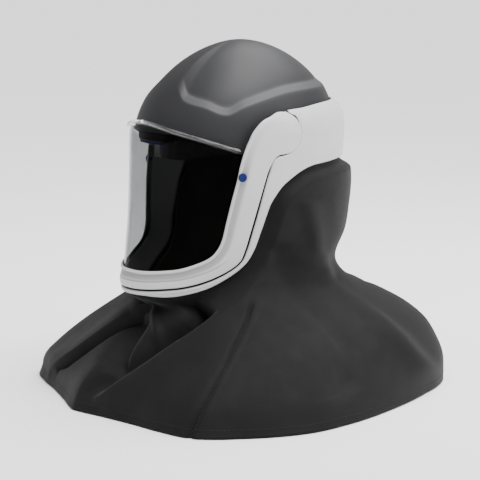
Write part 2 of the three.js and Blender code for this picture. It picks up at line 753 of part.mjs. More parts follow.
// Smooth form of the hanging cloth, before its folds
function clothSurface(turn, height) {
  const drop = -height / hemDrop;
  const section = readTable(clothSections, 'drop', drop);
  const hem = readTable(hemStations, 'turn', fromFront(turn)).reach;
  const spread = hemRadius * blend(1, hem, ease((drop - 0.58) / 0.34));
  const angle = radians(turn);
  const reach = spread * (Math.cos(angle) > 0 ? section.front : section.rear);
  return new THREE.Vector3(
    spread * section.side * Math.sin(angle),
    section.back * hemBack - reach * Math.cos(angle),
    height,
  );
}

// Height of all the folds at a turn and a drop, on cloth that lies at a radius from the middle of the hem
function foldsAt(turn, drop, radius) {
  let stand = 0;
  for (const fold of foldLines) {
    const along = (drop - fold.fromDrop) / (fold.toDrop - fold.fromDrop);
    const middle = blend(fold.fromTurn, fold.toTurn, along) + 4 * fold.bow * along * (1 - along);
    const aside = ((((turn - middle) % 360) + 540) % 360) - 180;
    const across = (radians(aside) * radius) / (aside < 0 ? fold.left : fold.right);
    stand += fold.stand * Math.exp(-across * across) * ease(along / 0.25) * ease((1.2 - along) / 0.25);
  }
  return stand;
}

// Cloth at a turn and a height: tucked inside the collar down to the cloth line, then hanging free with its folds
function clothPoint(turn, height, depth) {
  const line = clothLineAt(fromFront(turn));
  const steepness = (clothLineAt(fromFront(turn + 1)) - clothLineAt(fromFront(turn - 1))) / (2 * radians(skinSide));
  const clear = (line - height) / Math.hypot(1, steepness);
  const tucked = skinPoint(turn, height, collarWall + clothGap + depth);
  const free = clothSurface(turn, height);
  const loose = ease((clear - collarWall) / clothBreak);
  const folded = ease(clear / (2.4 * clothBreak));
  const stand = folded * foldsAt(turn, -height / hemDrop, Math.hypot(free.x, free.y - hemBack));
  return tucked.lerp(insetPoint(clothSurface, turn, height, depth - stand), loose);
}

function shroud() {
  const rows = 13;
  return thickSheet({
    columns: clothColumns[clothColumns.length - 1].column,
    rows,
    place: (u, v, face) => {
      const column = readTable(clothColumns, 'column', u * clothColumns[clothColumns.length - 1].column);
      const line = clothLineAt(fromFront(column.topTurn));
      if (v === 0) return clothPoint(column.topTurn, line + clothTuck, face * clothWall);
      const height = blend(line, -hemDrop, (v * rows - 1) / (rows - 1));
      const leanFrom = Math.max(-line / hemDrop, leanStart);
      const lean = Math.max((-height / hemDrop - leanFrom) / (1 - leanFrom), 0);
      return clothPoint(blend(column.topTurn, column.hemTurn, lean), height, face * clothWall);
    },
  });
}

addPiece('crown_shell', crownShell(), materials.shell);
addPiece('collar_frame', collarFrame(), materials.frame);
addPiece('visor_frame', visorFrame(), materials.frame);
addPiece('visor', visor(), materials.clear);
addPiece('visor_rail', visorRail(), materials.clear);
addPiece('fastener_left', fastener(1), materials.blue);
addPiece('fastener_right', fastener(-1), materials.blue);
addPiece('face_seal', faceSeal(), materials.cloth);
addPiece('headband', headband(), materials.harness);
addPiece('brow_duct', browDuct(), materials.harness);
addPiece('air_deflector', airDeflector(), materials.blue);
addPiece('shroud', shroud(), materials.cloth);

export default helmet;
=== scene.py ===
import math

import bpy
import numpy as np
from mathutils import Matrix, Vector, kdtree


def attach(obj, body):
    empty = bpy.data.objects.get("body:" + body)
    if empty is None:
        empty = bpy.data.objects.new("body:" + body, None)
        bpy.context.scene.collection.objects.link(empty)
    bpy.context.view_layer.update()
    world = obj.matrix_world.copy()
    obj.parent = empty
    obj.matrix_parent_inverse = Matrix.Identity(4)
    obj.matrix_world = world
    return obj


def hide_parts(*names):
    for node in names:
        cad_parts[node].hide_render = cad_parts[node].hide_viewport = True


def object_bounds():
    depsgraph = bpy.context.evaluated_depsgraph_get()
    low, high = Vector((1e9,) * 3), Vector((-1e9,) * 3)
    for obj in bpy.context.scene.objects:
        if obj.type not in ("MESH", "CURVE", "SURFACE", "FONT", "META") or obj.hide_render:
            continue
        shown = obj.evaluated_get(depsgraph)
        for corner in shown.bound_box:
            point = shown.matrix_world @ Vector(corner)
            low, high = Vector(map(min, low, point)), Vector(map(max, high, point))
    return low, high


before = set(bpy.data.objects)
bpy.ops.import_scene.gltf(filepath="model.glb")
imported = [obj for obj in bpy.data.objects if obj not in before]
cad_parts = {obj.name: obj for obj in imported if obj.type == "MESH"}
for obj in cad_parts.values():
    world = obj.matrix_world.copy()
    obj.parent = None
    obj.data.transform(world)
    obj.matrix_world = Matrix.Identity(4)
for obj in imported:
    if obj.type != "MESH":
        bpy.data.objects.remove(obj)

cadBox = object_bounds()
millimetre = 0.001

# Millimetres, +Z up, the wearer looks along -Y. A turn is degrees round the helmet from the front midline,
# and heights count from the skin's widest level, whose middle lies at skinPlace from the wearer's head seat.
skinPlace = np.array([0, -8, 9])

skin = dict(side=118, front=130, rear=154, drop=168)
skinSections = [
    dict(level=-1.25, side=0.64, front=1.09, rear=0.97),
    dict(level=-1.1, side=0.737, front=1.157, rear=0.97),
    dict(level=-1.0, side=0.78, front=1.146, rear=0.97),
    dict(level=-0.85, side=0.839, front=1.11, rear=0.97),
    dict(level=-0.6, side=0.915, front=1.058, rear=0.97),
    dict(level=-0.3, side=0.983, front=1.02, rear=0.972),
    dict(level=0.0, side=1.0, front=1.0, rear=1.0),
    dict(level=0.1, side=0.98, front=0.985, rear=0.988),
    dict(level=0.16, side=0.935, front=0.965, rear=0.955),
    dict(level=0.22, side=0.862, front=0.93, rear=0.888),
]

# Round half of the face from the chin's midline: the visor's opening, the seam below it and the cloth line
faceStations = [
    dict(openTurn=0, openLevel=-0.958, seamTurn=0, seamLevel=-1.094, clothTurn=0, clothLevel=-1.142),
    dict(openTurn=15, openLevel=-0.958, seamTurn=17, seamLevel=-1.092, clothTurn=17.5, clothLevel=-1.142),
    dict(openTurn=29, openLevel=-0.948, seamTurn=33.4, seamLevel=-1.08, clothTurn=34, clothLevel=-1.147),
    dict(openTurn=40, openLevel=-0.932, seamTurn=45, seamLevel=-1.064, clothTurn=46, clothLevel=-1.128),
    dict(openTurn=49.4, openLevel=-0.893, seamTurn=56, seamLevel=-1.026, clothTurn=57.5, clothLevel=-1.085),
    dict(openTurn=55.5, openLevel=-0.85, seamTurn=65.3, seamLevel=-0.966, clothTurn=67, clothLevel=-1.012),
    dict(openTurn=58.6, openLevel=-0.79, seamTurn=71.4, seamLevel=-0.894, clothTurn=74.2, clothLevel=-0.925),
    dict(openTurn=60, openLevel=-0.72, seamTurn=73.2, seamLevel=-0.805, clothTurn=78, clothLevel=-0.82),
    dict(openTurn=60.6, openLevel=-0.61, seamTurn=74.6, seamLevel=-0.67, clothTurn=80.3, clothLevel=-0.68),
    dict(openTurn=62, openLevel=-0.44, seamTurn=77.1, seamLevel=-0.46, clothTurn=83.5, clothLevel=-0.5),
    dict(openTurn=63.9, openLevel=-0.288, seamTurn=79.2, seamLevel=-0.318, clothTurn=86.5, clothLevel=-0.42),
    dict(openTurn=65.2, openLevel=-0.18, seamTurn=81.1, seamLevel=-0.228, clothTurn=89.2, clothLevel=-0.37),
]

# Over the arm: angles about the pivot from straight back, reaches as shares of the round end's radius
arm = dict(radius=25, back=1, rise=4, squareReach=2.1, archAngle=64, flareAngle=54, archFlare=0.036,
           postRadius=6, hubRadius=11, boreGap=0.35)
armStations = [
    dict(upperAngle=199.6, upperReach=2.19, lowerAngle=244.4, lowerReach=1.352),
    dict(upperAngle=189.5, upperReach=1.92, lowerAngle=253, lowerReach=1.076),
    dict(upperAngle=174, upperReach=1.64, lowerAngle=268, lowerReach=1),
    dict(upperAngle=152, upperReach=1.3, lowerAngle=288, lowerReach=1),
    dict(upperAngle=127.4, upperReach=1.03, lowerAngle=309, lowerReach=1),
    dict(upperAngle=102, upperReach=1, lowerAngle=330, lowerReach=1),
    dict(upperAngle=76, upperReach=1, lowerAngle=350, lowerReach=1),
    dict(upperAngle=51, upperReach=1, lowerAngle=368, lowerReach=1),
    dict(upperAngle=27, upperReach=1, lowerAngle=387, lowerReach=1),
]
collarStations = [  # gap is the hair's breadth or the open seam left beside the arm
    dict(edgeAngle=244.4, edgeReach=1.352, gap=1.8, clothTurn=90.4),
    dict(edgeAngle=253, edgeReach=1.076, gap=1.7, clothTurn=91.5),
    dict(edgeAngle=268, edgeReach=1, gap=1.3, clothTurn=93.2),
    dict(edgeAngle=290, edgeReach=1, gap=0.5, clothTurn=95.2),
    dict(edgeAngle=313, edgeReach=1, gap=0.3, clothTurn=97.2),
    dict(edgeAngle=337, edgeReach=1, gap=0.3, clothTurn=99),
]
collarTop = [
    dict(turn=92, level=0.175),
    dict(turn=97.5, level=0.182),
    dict(turn=106, level=0.194),
    dict(turn=117, level=0.206),
    dict(turn=130, level=0.212),
    dict(turn=180, level=0.212),
]
clothLine = [dict(turn=row["clothTurn"], level=row["clothLevel"]) for row in faceStations] + [
    dict(turn=92.9, level=-0.324),
    dict(turn=100.3, level=-0.262),
    dict(turn=108, level=-0.23),
    dict(turn=118, level=-0.223),
    dict(turn=133, level=-0.218),
    dict(turn=180, level=-0.215),
]
railLine = [
    dict(turn=0, level=0.093),
    dict(turn=12, level=0.08),
    dict(turn=26, level=0.044),
    dict(turn=43.5, level=-0.008),
    dict(turn=61.6, level=-0.077),
    dict(turn=72, level=-0.115),
]
visorStations = [
    dict(lowTurn=0, lowLevel=-0.995, highTurn=0),
    dict(lowTurn=14, lowLevel=-0.994, highTurn=13),
    dict(lowTurn=28, lowLevel=-0.982, highTurn=26),
    dict(lowTurn=40, lowLevel=-0.957, highTurn=39),
    dict(lowTurn=50, lowLevel=-0.915, highTurn=51),
    dict(lowTurn=58, lowLevel=-0.855, highTurn=61),
    dict(lowTurn=64.5, lowLevel=-0.78, highTurn=69.5),
]


def blend(start, end, share):
    return start + (end - start) * share


def ease(share):
    kept = np.clip(share, 0, 1)
    return kept * kept * (3 - 2 * kept)


def fromFront(turn):
    return np.abs((np.asarray(turn, float) + 540) % 360 - 180)


def readTable(rows, key, at):  # a smooth curve through every column, read at values of the key column
    at = np.asarray(at, float)
    keys = np.array([row[key] for row in rows], float)
    count = len(rows)
    low = np.clip(np.searchsorted(keys, at, side="right") - 1, 0, count - 2)
    span = keys[low + 1] - keys[low]
    share = np.clip((at - keys[low]) / span, 0, 1)
    before = np.maximum(np.arange(count) - 1, 0)
    after = np.minimum(np.arange(count) + 1, count - 1)
    bend = share * share * (3 - 2 * share)
    read = {}
    for column in rows[0]:
        values = np.array([row[column] for row in rows], float)
        slope = (values[after] - values[before]) / (keys[after] - keys[before])
        leave = slope[low] * span * share * (1 - share) ** 2
        arrive = slope[low + 1] * span * share * share * (1 - share)
        read[column] = blend(values[low], values[low + 1], bend) + leave - arrive
    return read


def readAlong(rows, share):
    counted = [dict(row, count=count) for count, row in enumerate(rows)]
    return readTable(counted, "count", np.asarray(share, float) * (len(rows) - 1))


def stacked(x, y, z):
    return np.stack(np.broadcast_arrays(x, y, z), axis=-1)


def unit(vectors):
    return vectors / np.maximum(np.linalg.norm(vectors, axis=-1, keepdims=True), 1e-9)


def insetPoint(surface, turn, height, inset):  # a point moved inwards along the surface's own normal
    nudge = 0.4
    across = surface(turn + nudge, height) - surface(turn - nudge, height)
    upwards = surface(turn, height + nudge) - surface(turn, height - nudge)
    return surface(turn, height) - unit(np.cross(across, upwards)) * np.asarray(inset)[..., None]


def skinSurface(turn, height):
    section = readTable(skinSections, "level", np.asarray(height) / skin["drop"])
    angle = np.radians(turn)
    reach = np.where(np.cos(angle) > 0, skin["front"] * section["front"], skin["rear"] * section["rear"])
    return stacked(skin["side"] * section["side"] * np.sin(angle), -reach * np.cos(angle), height)


def skinPoint(turn, height, inset):  # square to the pivot axis near the pivots, so the arm turns freely
    outer = skinSurface(turn, height)
    sloped = insetPoint(skinSurface, turn, height, inset)
    square = outer.copy()
    square[..., 0] -= np.sign(outer[..., 0]) * inset
    away = np.hypot(outer[..., 1] - arm["back"], outer[..., 2] - arm["rise"])
    near = ease((arm["squareReach"] * arm["radius"] - away) / arm["radius"])
    return blend(sloped, square, near[..., None])


def aboutPivot(angle, reach):  # turn and height of a point at an angle about the pivot axis
    back = arm["back"] + reach * np.cos(np.radians(angle))
    height = arm["rise"] + reach * np.sin(np.radians(angle))
    section = readTable(skinSections, "level", height / skin["drop"])
    depth = np.where(back < 0, skin["front"] * section["front"], skin["rear"] * section["rear"])
    return 90 + np.degrees(np.arcsin(back / depth)), height


def clothLineAt(turn):
    return readTable(clothLine, "turn", fromFront(turn))["level"] * skin["drop"]


def collarTopAt(turn):
    return readTable(collarTop, "turn", turn)["level"] * skin["drop"]


def railHeightAt(turn):
    return readTable(railLine, "turn", fromFront(turn))["level"] * skin["drop"]


frameRows = [
    dict(innerTurn=row["openTurn"], innerHeight=row["openLevel"] * skin["drop"],
         outerTurn=row["seamTurn"], outerHeight=row["seamLevel"] * skin["drop"])
    for row in faceStations
]
for row in armStations:
    upperTurn, upperHeight = aboutPivot(row["upperAngle"], row["upperReach"] * arm["radius"])
    lowerTurn, lowerHeight = aboutPivot(row["lowerAngle"], row["lowerReach"] * arm["radius"])
    frameRows.append(dict(innerTurn=float(upperTurn), innerHeight=float(upperHeight),
                          outerTurn=float(lowerTurn), outerHeight=float(lowerHeight)))


# Meshes: grids of points that share edges become one closed sheet with softened edges
sheetFit = dict(weld=0.02, onBorder=0.05, underShare=0.6, leastWall=0.4)
farAway = 99.0


def evenRow(count):
    return np.linspace(0, 1, count + 1)


def softRow(count, pull=0.75):  # closer rows near both ends, for rounded edges
    even = evenRow(count)
    return blend(even, 0.5 - 0.5 * np.cos(np.pi * even), pull)


def makeMesh(name, points, faces, uvs, material):
    mesh = bpy.data.meshes.new(name)
    shifted = (np.asarray(points) + skinPlace) * millimetre
    mesh.from_pydata(shifted.tolist(), [], faces)
    if uvs is not None:
        layer = mesh.uv_layers.new(name="laid")
        layer.data.foreach_set("uv", np.asarray(uvs, dtype=np.float32).ravel())
    mesh.validate()
    mesh.polygons.foreach_set("use_smooth", [True] * len(mesh.polygons))
    mesh.materials.append(material)
    piece = bpy.data.objects.new(name, mesh)
    bpy.context.scene.collection.objects.link(piece)
    return piece


def signedVolume(points, faces):
    total = 0.0
    for face in faces:
        corners = points[list(face)]
        for place in range(1, len(face) - 1):
            total += float(np.dot(corners[0], np.cross(corners[place], corners[place + 1])))
    return total


def sheetPiece(name, grids, wall, edge, material, relief=None, mark=None):
    # each grid has place(u, v, inset) with its own u and v rows, and mirrored grids are flipped
    outer, shares, faces, uvs = [], [], [], []
    start = 0
    for grid in grids:
        u, v = np.meshgrid(grid["u"], grid["v"], indexing="ij")
        points = grid["place"](u, v, np.zeros_like(u))
        outer.append(points.reshape(-1, 3))
        shares.append((grid, u, v))
        rows = len(grid["v"])
        for column in range(len(grid["u"]) - 1):
            for row in range(rows - 1):
                corner = start + column * rows + row
                quad = [corner, corner + rows, corner + rows + 1, corner + 1]
                faces.append(quad[::-1] if grid.get("flipped") else quad)
        start += points.reshape(-1, 3).shape[0]
    outer = np.concatenate(outer)
    # weld what the grids share
    tree = kdtree.KDTree(len(outer))
    for index, point in enumerate(outer):
        tree.insert(Vector(point), index)
    tree.balance()
    keep = np.arange(len(outer))
    for index in range(len(outer)):
        if keep[index] != index:
            continue
        for _, other, _ in tree.find_range(Vector(outer[index]), sheetFit["weld"]):
            if other > index:
                keep[other] = index
    used, packed = np.unique(keep, return_inverse=True)
    welded = []
    for face in faces:
        ring = []
        for corner in face:
            index = int(packed[corner])
            if index not in ring:
                ring.append(index)
        if len(ring) > 2:
            welded.append(ring)
    directed = {}
    for ring in welded:
        for here, there in zip(ring, ring[1:] + ring[:1]):
            directed[(here, there)] = True
    border = [pair for pair in directed if (pair[1], pair[0]) not in directed]
    # how far each point is from the sheet's border
    ground = outer[used]
    samples = []
    for here, there in border:
        for share in (0, 0.25, 0.5, 0.75):
            samples.append(blend(ground[here], ground[there], share))
    near = kdtree.KDTree(max(len(samples), 1))
    for index, point in enumerate(samples):
        near.insert(Vector(point), index)
    near.balance()
    away = np.array([near.find(Vector(point))[2] if samples else farAway for point in outer])
    away = np.where(away < sheetFit["onBorder"], 0, away)
    top, under, marks = [], [], []
    start = 0
    for grid, u, v in shares:
        clear = away[start:start + u.size].reshape(u.shape)
        start += u.size
        roundness = edge(grid, u, v) if callable(edge) else edge
        soft = roundness - np.sqrt(np.maximum(roundness ** 2 - np.maximum(roundness - clear, 0) ** 2, 0))
        raised = relief(grid, u, v, clear) if relief else 0
        top.append(grid["place"](u, v, soft + raised).reshape(-1, 3))
        rounded = np.minimum(sheetFit["underShare"] * soft, np.maximum(wall - soft - sheetFit["leastWall"], 0))
        under.append(grid["place"](u, v, wall - rounded).reshape(-1, 3))
        marks.append((mark(grid, u, v, clear) if mark else np.zeros_like(u)).ravel())
    top, under = np.concatenate(top)[used], np.concatenate(under)[used]
    count = len(top)
    solid = [list(ring) for ring in welded]
    solid += [[corner + count for corner in reversed(ring)] for ring in welded]
    solid += [[there, here, here + count, there + count] for here, there in border]
    points = np.concatenate([top, under])
    if signedVolume(points, solid) < 0:
        solid = [ring[::-1] for ring in solid]
    piece = makeMesh(name, points, solid, None, material)
    if mark:
        setMarks(piece.data, np.concatenate([np.concatenate(marks)[used], np.zeros(count)]))
    return piece


def setMarks(mesh, marks):  # one number for each point, read by the material as its band of painted light and shade
    layer = mesh.attributes.new("band", "FLOAT", "POINT")
    layer.data.foreach_set("value", np.asarray(marks, dtype=np.float32))


def bothSides(u, v, place, part="sheet"):
    def mirrored(side):
        def placed(across, down, inset):
            return place(across, down, inset) * np.array([side, 1, 1])
        return placed
    return [dict(u=u, v=v, place=mirrored(side), flipped=side < 0, part=part) for side in (1, -1)]


def lathe(outline, sides, turnTo, place):  # a closed turned solid, its outline from the axis back to the axis
    points, faces = [], []
    rings = []
    for radius, rise in outline:
        if radius < 1e-6:
            rings.append([len(points)])
            points.append(Vector((0, 0, rise)))
            continue
        ring = []
        for step in range(sides):
            angle = 2 * math.pi * step / sides
            ring.append(len(points))
            points.append(Vector((radius * math.cos(angle), radius * math.sin(angle), rise)))
        rings.append(ring)
    for lower, upper in zip(rings, rings[1:]):
        for step in range(sides):
            following = (step + 1) % sides
            if len(lower) == 1:
                faces.append([lower[0], upper[step], upper[following]])
            elif len(upper) == 1:
                faces.append([lower[step], upper[0], lower[following]])
            else:
                faces.append([lower[step], upper[step], upper[following], lower[following]])
    turned = Vector((0, 0, 1)).rotation_difference(Vector(turnTo)).to_matrix()
    placed = np.array([list(turned @ point + Vector(place)) for point in points])
    if signedVolume(placed, faces) < 0:
        faces = [face[::-1] for face in faces]
    return placed, faces


def addSolid(piece, points, faces):  # joins another closed solid to a piece's mesh
    mesh = piece.data
    old = np.empty(len(mesh.vertices) * 3)
    mesh.vertices.foreach_get("co", old)
    known = old.reshape(-1, 3)
    rings = [list(face.vertices) for face in mesh.polygons]
    rings += [[corner + len(known) for corner in face] for face in faces]
    joined = np.concatenate([known, (np.asarray(points) + skinPlace) * millimetre])
    material = mesh.materials[0]
    renewed = bpy.data.meshes.new(mesh.name)
    renewed.from_pydata(joined.tolist(), [], rings)
    renewed.polygons.foreach_set("use_smooth", [True] * len(renewed.polygons))
    renewed.materials.append(material)
    if "band" in mesh.attributes:
        marks = np.zeros(len(joined), dtype=np.float32)
        kept = np.empty(len(known), dtype=np.float32)
        mesh.attributes["band"].data.foreach_get("value", kept)
        marks[:len(kept)] = kept
        setMarks(renewed, marks)
    piece.data = renewed
    bpy.data.meshes.remove(mesh)


# Materials
def startMaterial(name):
    material = bpy.data.materials.new(name)
    material.use_nodes = True
    nodes, links = material.node_tree.nodes, material.node_tree.links
    shader = nodes["Principled BSDF"]
    place = nodes.new("ShaderNodeTexCoord")
    return material, nodes, links, shader, place


def addNoise(nodes, links, vector, scale, detail, roughness):
    noise = nodes.new("ShaderNodeTexNoise")
    noise.inputs["Scale"].default_value = scale
    noise.inputs["Detail"].default_value = detail
    noise.inputs["Roughness"].default_value = roughness
    links.new(vector, noise.inputs["Vector"])
    return noise.outputs["Fac"]


def addRamp(nodes, links, factor, stops):
    ramp = nodes.new("ShaderNodeValToRGB")
    points = ramp.color_ramp.elements
    for index, (position, colour) in enumerate(stops):
        point = points[index] if index < 2 else points.new(position)
        point.position = position
        point.color = (*colour, 1)
    links.new(factor, ramp.inputs["Fac"])
    return ramp.outputs["Color"]


def addRange(nodes, links, factor, low, high):
    spread = nodes.new("ShaderNodeMapRange")
    spread.inputs["To Min"].default_value = low
    spread.inputs["To Max"].default_value = high
    links.new(factor, spread.inputs["Value"])
    return spread.outputs["Result"]


def addBump(nodes, links, height, strength, distance, below=None):
    bump = nodes.new("ShaderNodeBump")
    bump.inputs["Strength"].default_value = strength
    bump.inputs["Distance"].default_value = distance
    links.new(height, bump.inputs["Height"])
    if below is not None:
        links.new(below, bump.inputs["Normal"])
    return bump.outputs["Normal"]


def mouldedPlastic(name, dark, light, rough, gloss=0.5, band=None):
    # a fine spark-eroded texture and soft shade drift, and another colour where the band is marked: a painted
    # highlight on the shell's ledge, painted shade in the frame's hollow
    material, nodes, links, shader, place = startMaterial(name)
    drift = addNoise(nodes, links, place.outputs["Object"], 9, 3, 0.5)
    shade = addRamp(nodes, links, drift, [(0.3, dark), (0.7, light)])
    if band:
        marked = nodes.new("ShaderNodeAttribute")
        marked.attribute_name = "band"
        mixed = nodes.new("ShaderNodeMixRGB")
        mixed.inputs["Color2"].default_value = (*band, 1)
        links.new(marked.outputs["Fac"], mixed.inputs["Fac"])
        links.new(shade, mixed.inputs["Color1"])
        shade = mixed.outputs["Color"]
    links.new(shade, shader.inputs["Base Color"])
    grain = addNoise(nodes, links, place.outputs["Object"], 1500, 2, 0.6)
    links.new(addRange(nodes, links, grain, rough - 0.05, rough + 0.07), shader.inputs["Roughness"])
    links.new(addBump(nodes, links, grain, 0.12, 0.0002), shader.inputs["Normal"])
    shader.inputs["Specular IOR Level"].default_value = gloss
    return material


def clearPlastic(name, tint, rough, bending):
    material, nodes, links, shader, place = startMaterial(name)
    haze = addNoise(nodes, links, place.outputs["Object"], 14, 3, 0.5)
    faint = tuple(part * 0.985 for part in tint)
    links.new(addRamp(nodes, links, haze, [(0.2, faint), (0.8, tint)]), shader.inputs["Base Color"])
    links.new(addRange(nodes, links, haze, rough, rough + 0.02), shader.inputs["Roughness"])
    shader.inputs["IOR"].default_value = bending
    shader.inputs["Transmission Weight"].default_value = 1.0
    return material


def wovenCloth(name, dark, light, threads, weaveDepth, sheen, wrinkle, laid="Object"):
    material, nodes, links, shader, place = startMaterial(name)
    drift = addNoise(nodes, links, place.outputs["Object"], 16, 5, 0.6)
    links.new(addRamp(nodes, links, drift, [(0.25, dark), (0.75, light)]), shader.inputs["Base Color"])
    heights = []
    for direction in ("X", "Y"):
        wave = nodes.new("ShaderNodeTexWave")
        wave.wave_type = "BANDS"
        wave.bands_direction = direction
        wave.inputs["Scale"].default_value = threads
        wave.inputs["Distortion"].default_value = 0.6
        wave.inputs["Detail"].default_value = 1
        links.new(place.outputs[laid], wave.inputs["Vector"])
        heights.append(wave.outputs["Fac"])
    weave = nodes.new("ShaderNodeMath")
    weave.operation = "MAXIMUM"
    links.new(heights[0], weave.inputs[0])
    links.new(heights[1], weave.inputs[1])
    woven = addBump(nodes, links, weave.outputs["Value"], weaveDepth, 0.0002)
    creases = addNoise(nodes, links, place.outputs["Object"], 60, 4, 0.55)
    links.new(addBump(nodes, links, creases, wrinkle, 0.0015, woven), shader.inputs["Normal"])
    links.new(addRange(nodes, links, creases, 0.62, 0.8), shader.inputs["Roughness"])
    shader.inputs["Sheen Weight"].default_value = sheen
    shader.inputs["Sheen Roughness"].default_value = 0.45
    shader.inputs["Specular IOR Level"].default_value = 0.12
    return material


# the shell's band colour is a painted highlight on the sloping ledge
shellPlastic = mouldedPlastic("shellPlastic", (0.013, 0.013, 0.0145), (0.020, 0.020, 0.0225),
                              rough=0.5, gloss=0.32, band=(0.045, 0.045, 0.049))
# the frame's band colour is painted shade in the hollow beside the visor frame's lip
framePlastic = mouldedPlastic("framePlastic", (0.50, 0.50, 0.505), (0.56, 0.56, 0.56),
                              rough=0.4, gloss=0.5, band=(0.31, 0.31, 0.315))
harnessPlastic = mouldedPlastic("harnessPlastic", (0.003, 0.003, 0.0033), (0.006, 0.006, 0.0065),
                                rough=0.6, gloss=0.15)
bluePlastic = mouldedPlastic("bluePlastic", (0.0006, 0.007, 0.075), (0.001, 0.011, 0.11), rough=0.4, gloss=0.2)
visorPlastic = clearPlastic("visorPlastic", (0.44, 0.443, 0.447), rough=0.0, bending=1.06)
railPlastic = clearPlastic("railPlastic", (0.95, 0.955, 0.96), rough=0.06, bending=1.45)
shroudCloth = wovenCloth("shroudCloth", (0.0052, 0.0052, 0.0054), (0.0086, 0.0086, 0.009),
                         threads=420, weaveDepth=0.2, sheen=0.05, wrinkle=0.08, laid="UV")
sealCloth = wovenCloth("sealCloth", (0.075, 0.075, 0.078), (0.095, 0.095, 0.099),
                       threads=90, weaveDepth=0.05, sheen=0.3, wrinkle=0.05)
threadCloth = wovenCloth("threadCloth", (0.012, 0.012, 0.0125), (0.018, 0.018, 0.019),
                         threads=900, weaveDepth=0.1, sheen=0.06, wrinkle=0.03)
print("materials made")

# Crown shell: a full dome with a stepped ledge round it
crown = dict(side=103, front=122.5, rear=139, top=109, lean=14, fullness=1.87, wall=3, edge=1.2, poleGap=0.02,
             ledgeStep=3.4, ledgeBand=11, corner=0.14, settle=1.2, postRoot=1.5, postReach=12.8, postChamfer=0.6)
# Shares of the way from the shell's base to its top: the ledge's foot and top, and the band over it painted
# lighter, a painted highlight
crownShares = dict(ledgeFoot=0.28, ledgeTop=0.42, highlightFrom=0.265, highlightTo=0.435, highlightFade=0.03)
crownStations = [
    dict(turn=0, base=0.035, ledge=0.56, step=0),
    dict(turn=14, base=0.03, ledge=0.54, step=0),
    dict(turn=20, base=0.025, ledge=0.47, step=0.5),
    dict(turn=27, base=0.01, ledge=0.38, step=1),
    dict(turn=44, base=-0.06, ledge=0.306, step=1),
    dict(turn=57.5, base=-0.13, ledge=0.235, step=1),
    dict(turn=68, base=-0.2, ledge=0.315, step=1),
    dict(turn=82, base=-0.25, ledge=0.387, step=1),
    dict(turn=102, base=-0.23, ledge=0.45, step=1),
    dict(turn=142, base=-0.1, ledge=0.468, step=1),
    dict(turn=180, base=-0.08, ledge=0.47, step=1),
]


def crownSurface(turn, height):
    rise = np.clip(np.asarray(height) / crown["top"], 0, 1)
    narrowing = np.maximum(1 - rise ** crown["fullness"], 0) ** (1 / crown["fullness"])
    angle = np.radians(turn)
    reach = np.where(np.cos(angle) > 0, crown["front"], crown["rear"])
    return stacked(crown["side"] * narrowing * np.sin(angle),
                   crown["lean"] * rise - reach * narrowing * np.cos(angle), height)


def makeCrown():
    foot, top = crownShares["ledgeFoot"], crownShares["ledgeTop"]

    def place(u, v, inset):
        turn = blend(-180, 180, u)
        station = readTable(crownStations, "turn", fromFront(turn))
        low = station["ledge"] * crown["top"]
        high = low + crown["ledgeBand"]
        start = station["base"] * crown["top"]
        climb = np.clip((v - top) / (1 - top), 0, 1)
        above = crown["top"] * np.sin(blend(np.arcsin(high / crown["top"]), np.pi / 2, climb))
        height = np.where(v < foot, blend(start, low, v / foot),
                          np.where(v < top, blend(low, high, (v - foot) / (top - foot)), above))
        across = np.clip((v - foot) / (top - foot), 0, 1)
        corner = crown["corner"]
        ramp = np.where(across < corner, across ** 2 / (2 * corner), across - corner / 2)
        rounded = 1 - corner - (1 - across) ** 2 / (2 * corner)
        ramp = np.where(across > 1 - corner, rounded, ramp) / (1 - corner)
        step = np.where(v < top, ramp, ease(crown["settle"] * (1 - climb)))
        height = np.minimum(height, crown["top"] - crown["poleGap"])
        point = insetPoint(crownSurface, turn, height, inset + crown["ledgeStep"] * station["step"] * step)
        pole = stacked(0, crown["lean"], crown["top"] - inset)
        return np.where((v > 0.9999)[..., None], pole, point)

    rows = np.concatenate([softRow(22, 0.4) * foot, foot + evenRow(14)[1:] * (top - foot),
                           top + evenRow(34)[1:] * (1 - top)])
    grid = dict(u=evenRow(264), v=rows, place=place)

    def mark(grid, u, v, clear):  # the sloping ledge is painted lighter, a painted highlight where light catches its slope
        station = readTable(crownStations, "turn", fromFront(blend(-180, 180, u)))
        rise = ease((v - crownShares["highlightFrom"]) / crownShares["highlightFade"])
        return station["step"] * rise * ease((crownShares["highlightTo"] - v) / crownShares["highlightFade"])

    piece = sheetPiece("crownShell", [grid], crown["wall"], crown["edge"], shellPlastic, mark=mark)
    radius, reach, chamfer = arm["postRadius"], crown["postReach"], crown["postChamfer"]
    post = [(0, 0), (radius, 0), (radius, reach), (radius - chamfer, reach + chamfer), (0, reach + chamfer)]
    for side in (1, -1):
        root = (side * (crown["side"] - crown["postRoot"]), arm["back"], arm["rise"])
        points, faces = lathe(post, 32, (side, 0, 0), root)
        addSolid(piece, points, faces)
    return piece


crownShell = makeCrown()
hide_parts("crown_shell")
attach(crownShell, "helmet")
print("crown shell made")

# Collar frame: the rim under the seam and the wide collar behind the arms
collar = dict(wall=3, edge=2.3, hairEdge=0.3, seamGap=2.7, hairGap=0.3, hairRow=13.5, notchGap=2.4,
              notchAngle=44, notchWidth=11, beadFrom=2.6, beadTo=5.2, beadDepth=0.45)
ledge = dict(fromAngle=50, toAngle=68, under=7, over=1.6, depth=6.3, wall=1.2, edge=0.3)
faceDegree = math.radians((skin["side"] + skin["front"]) / 2)


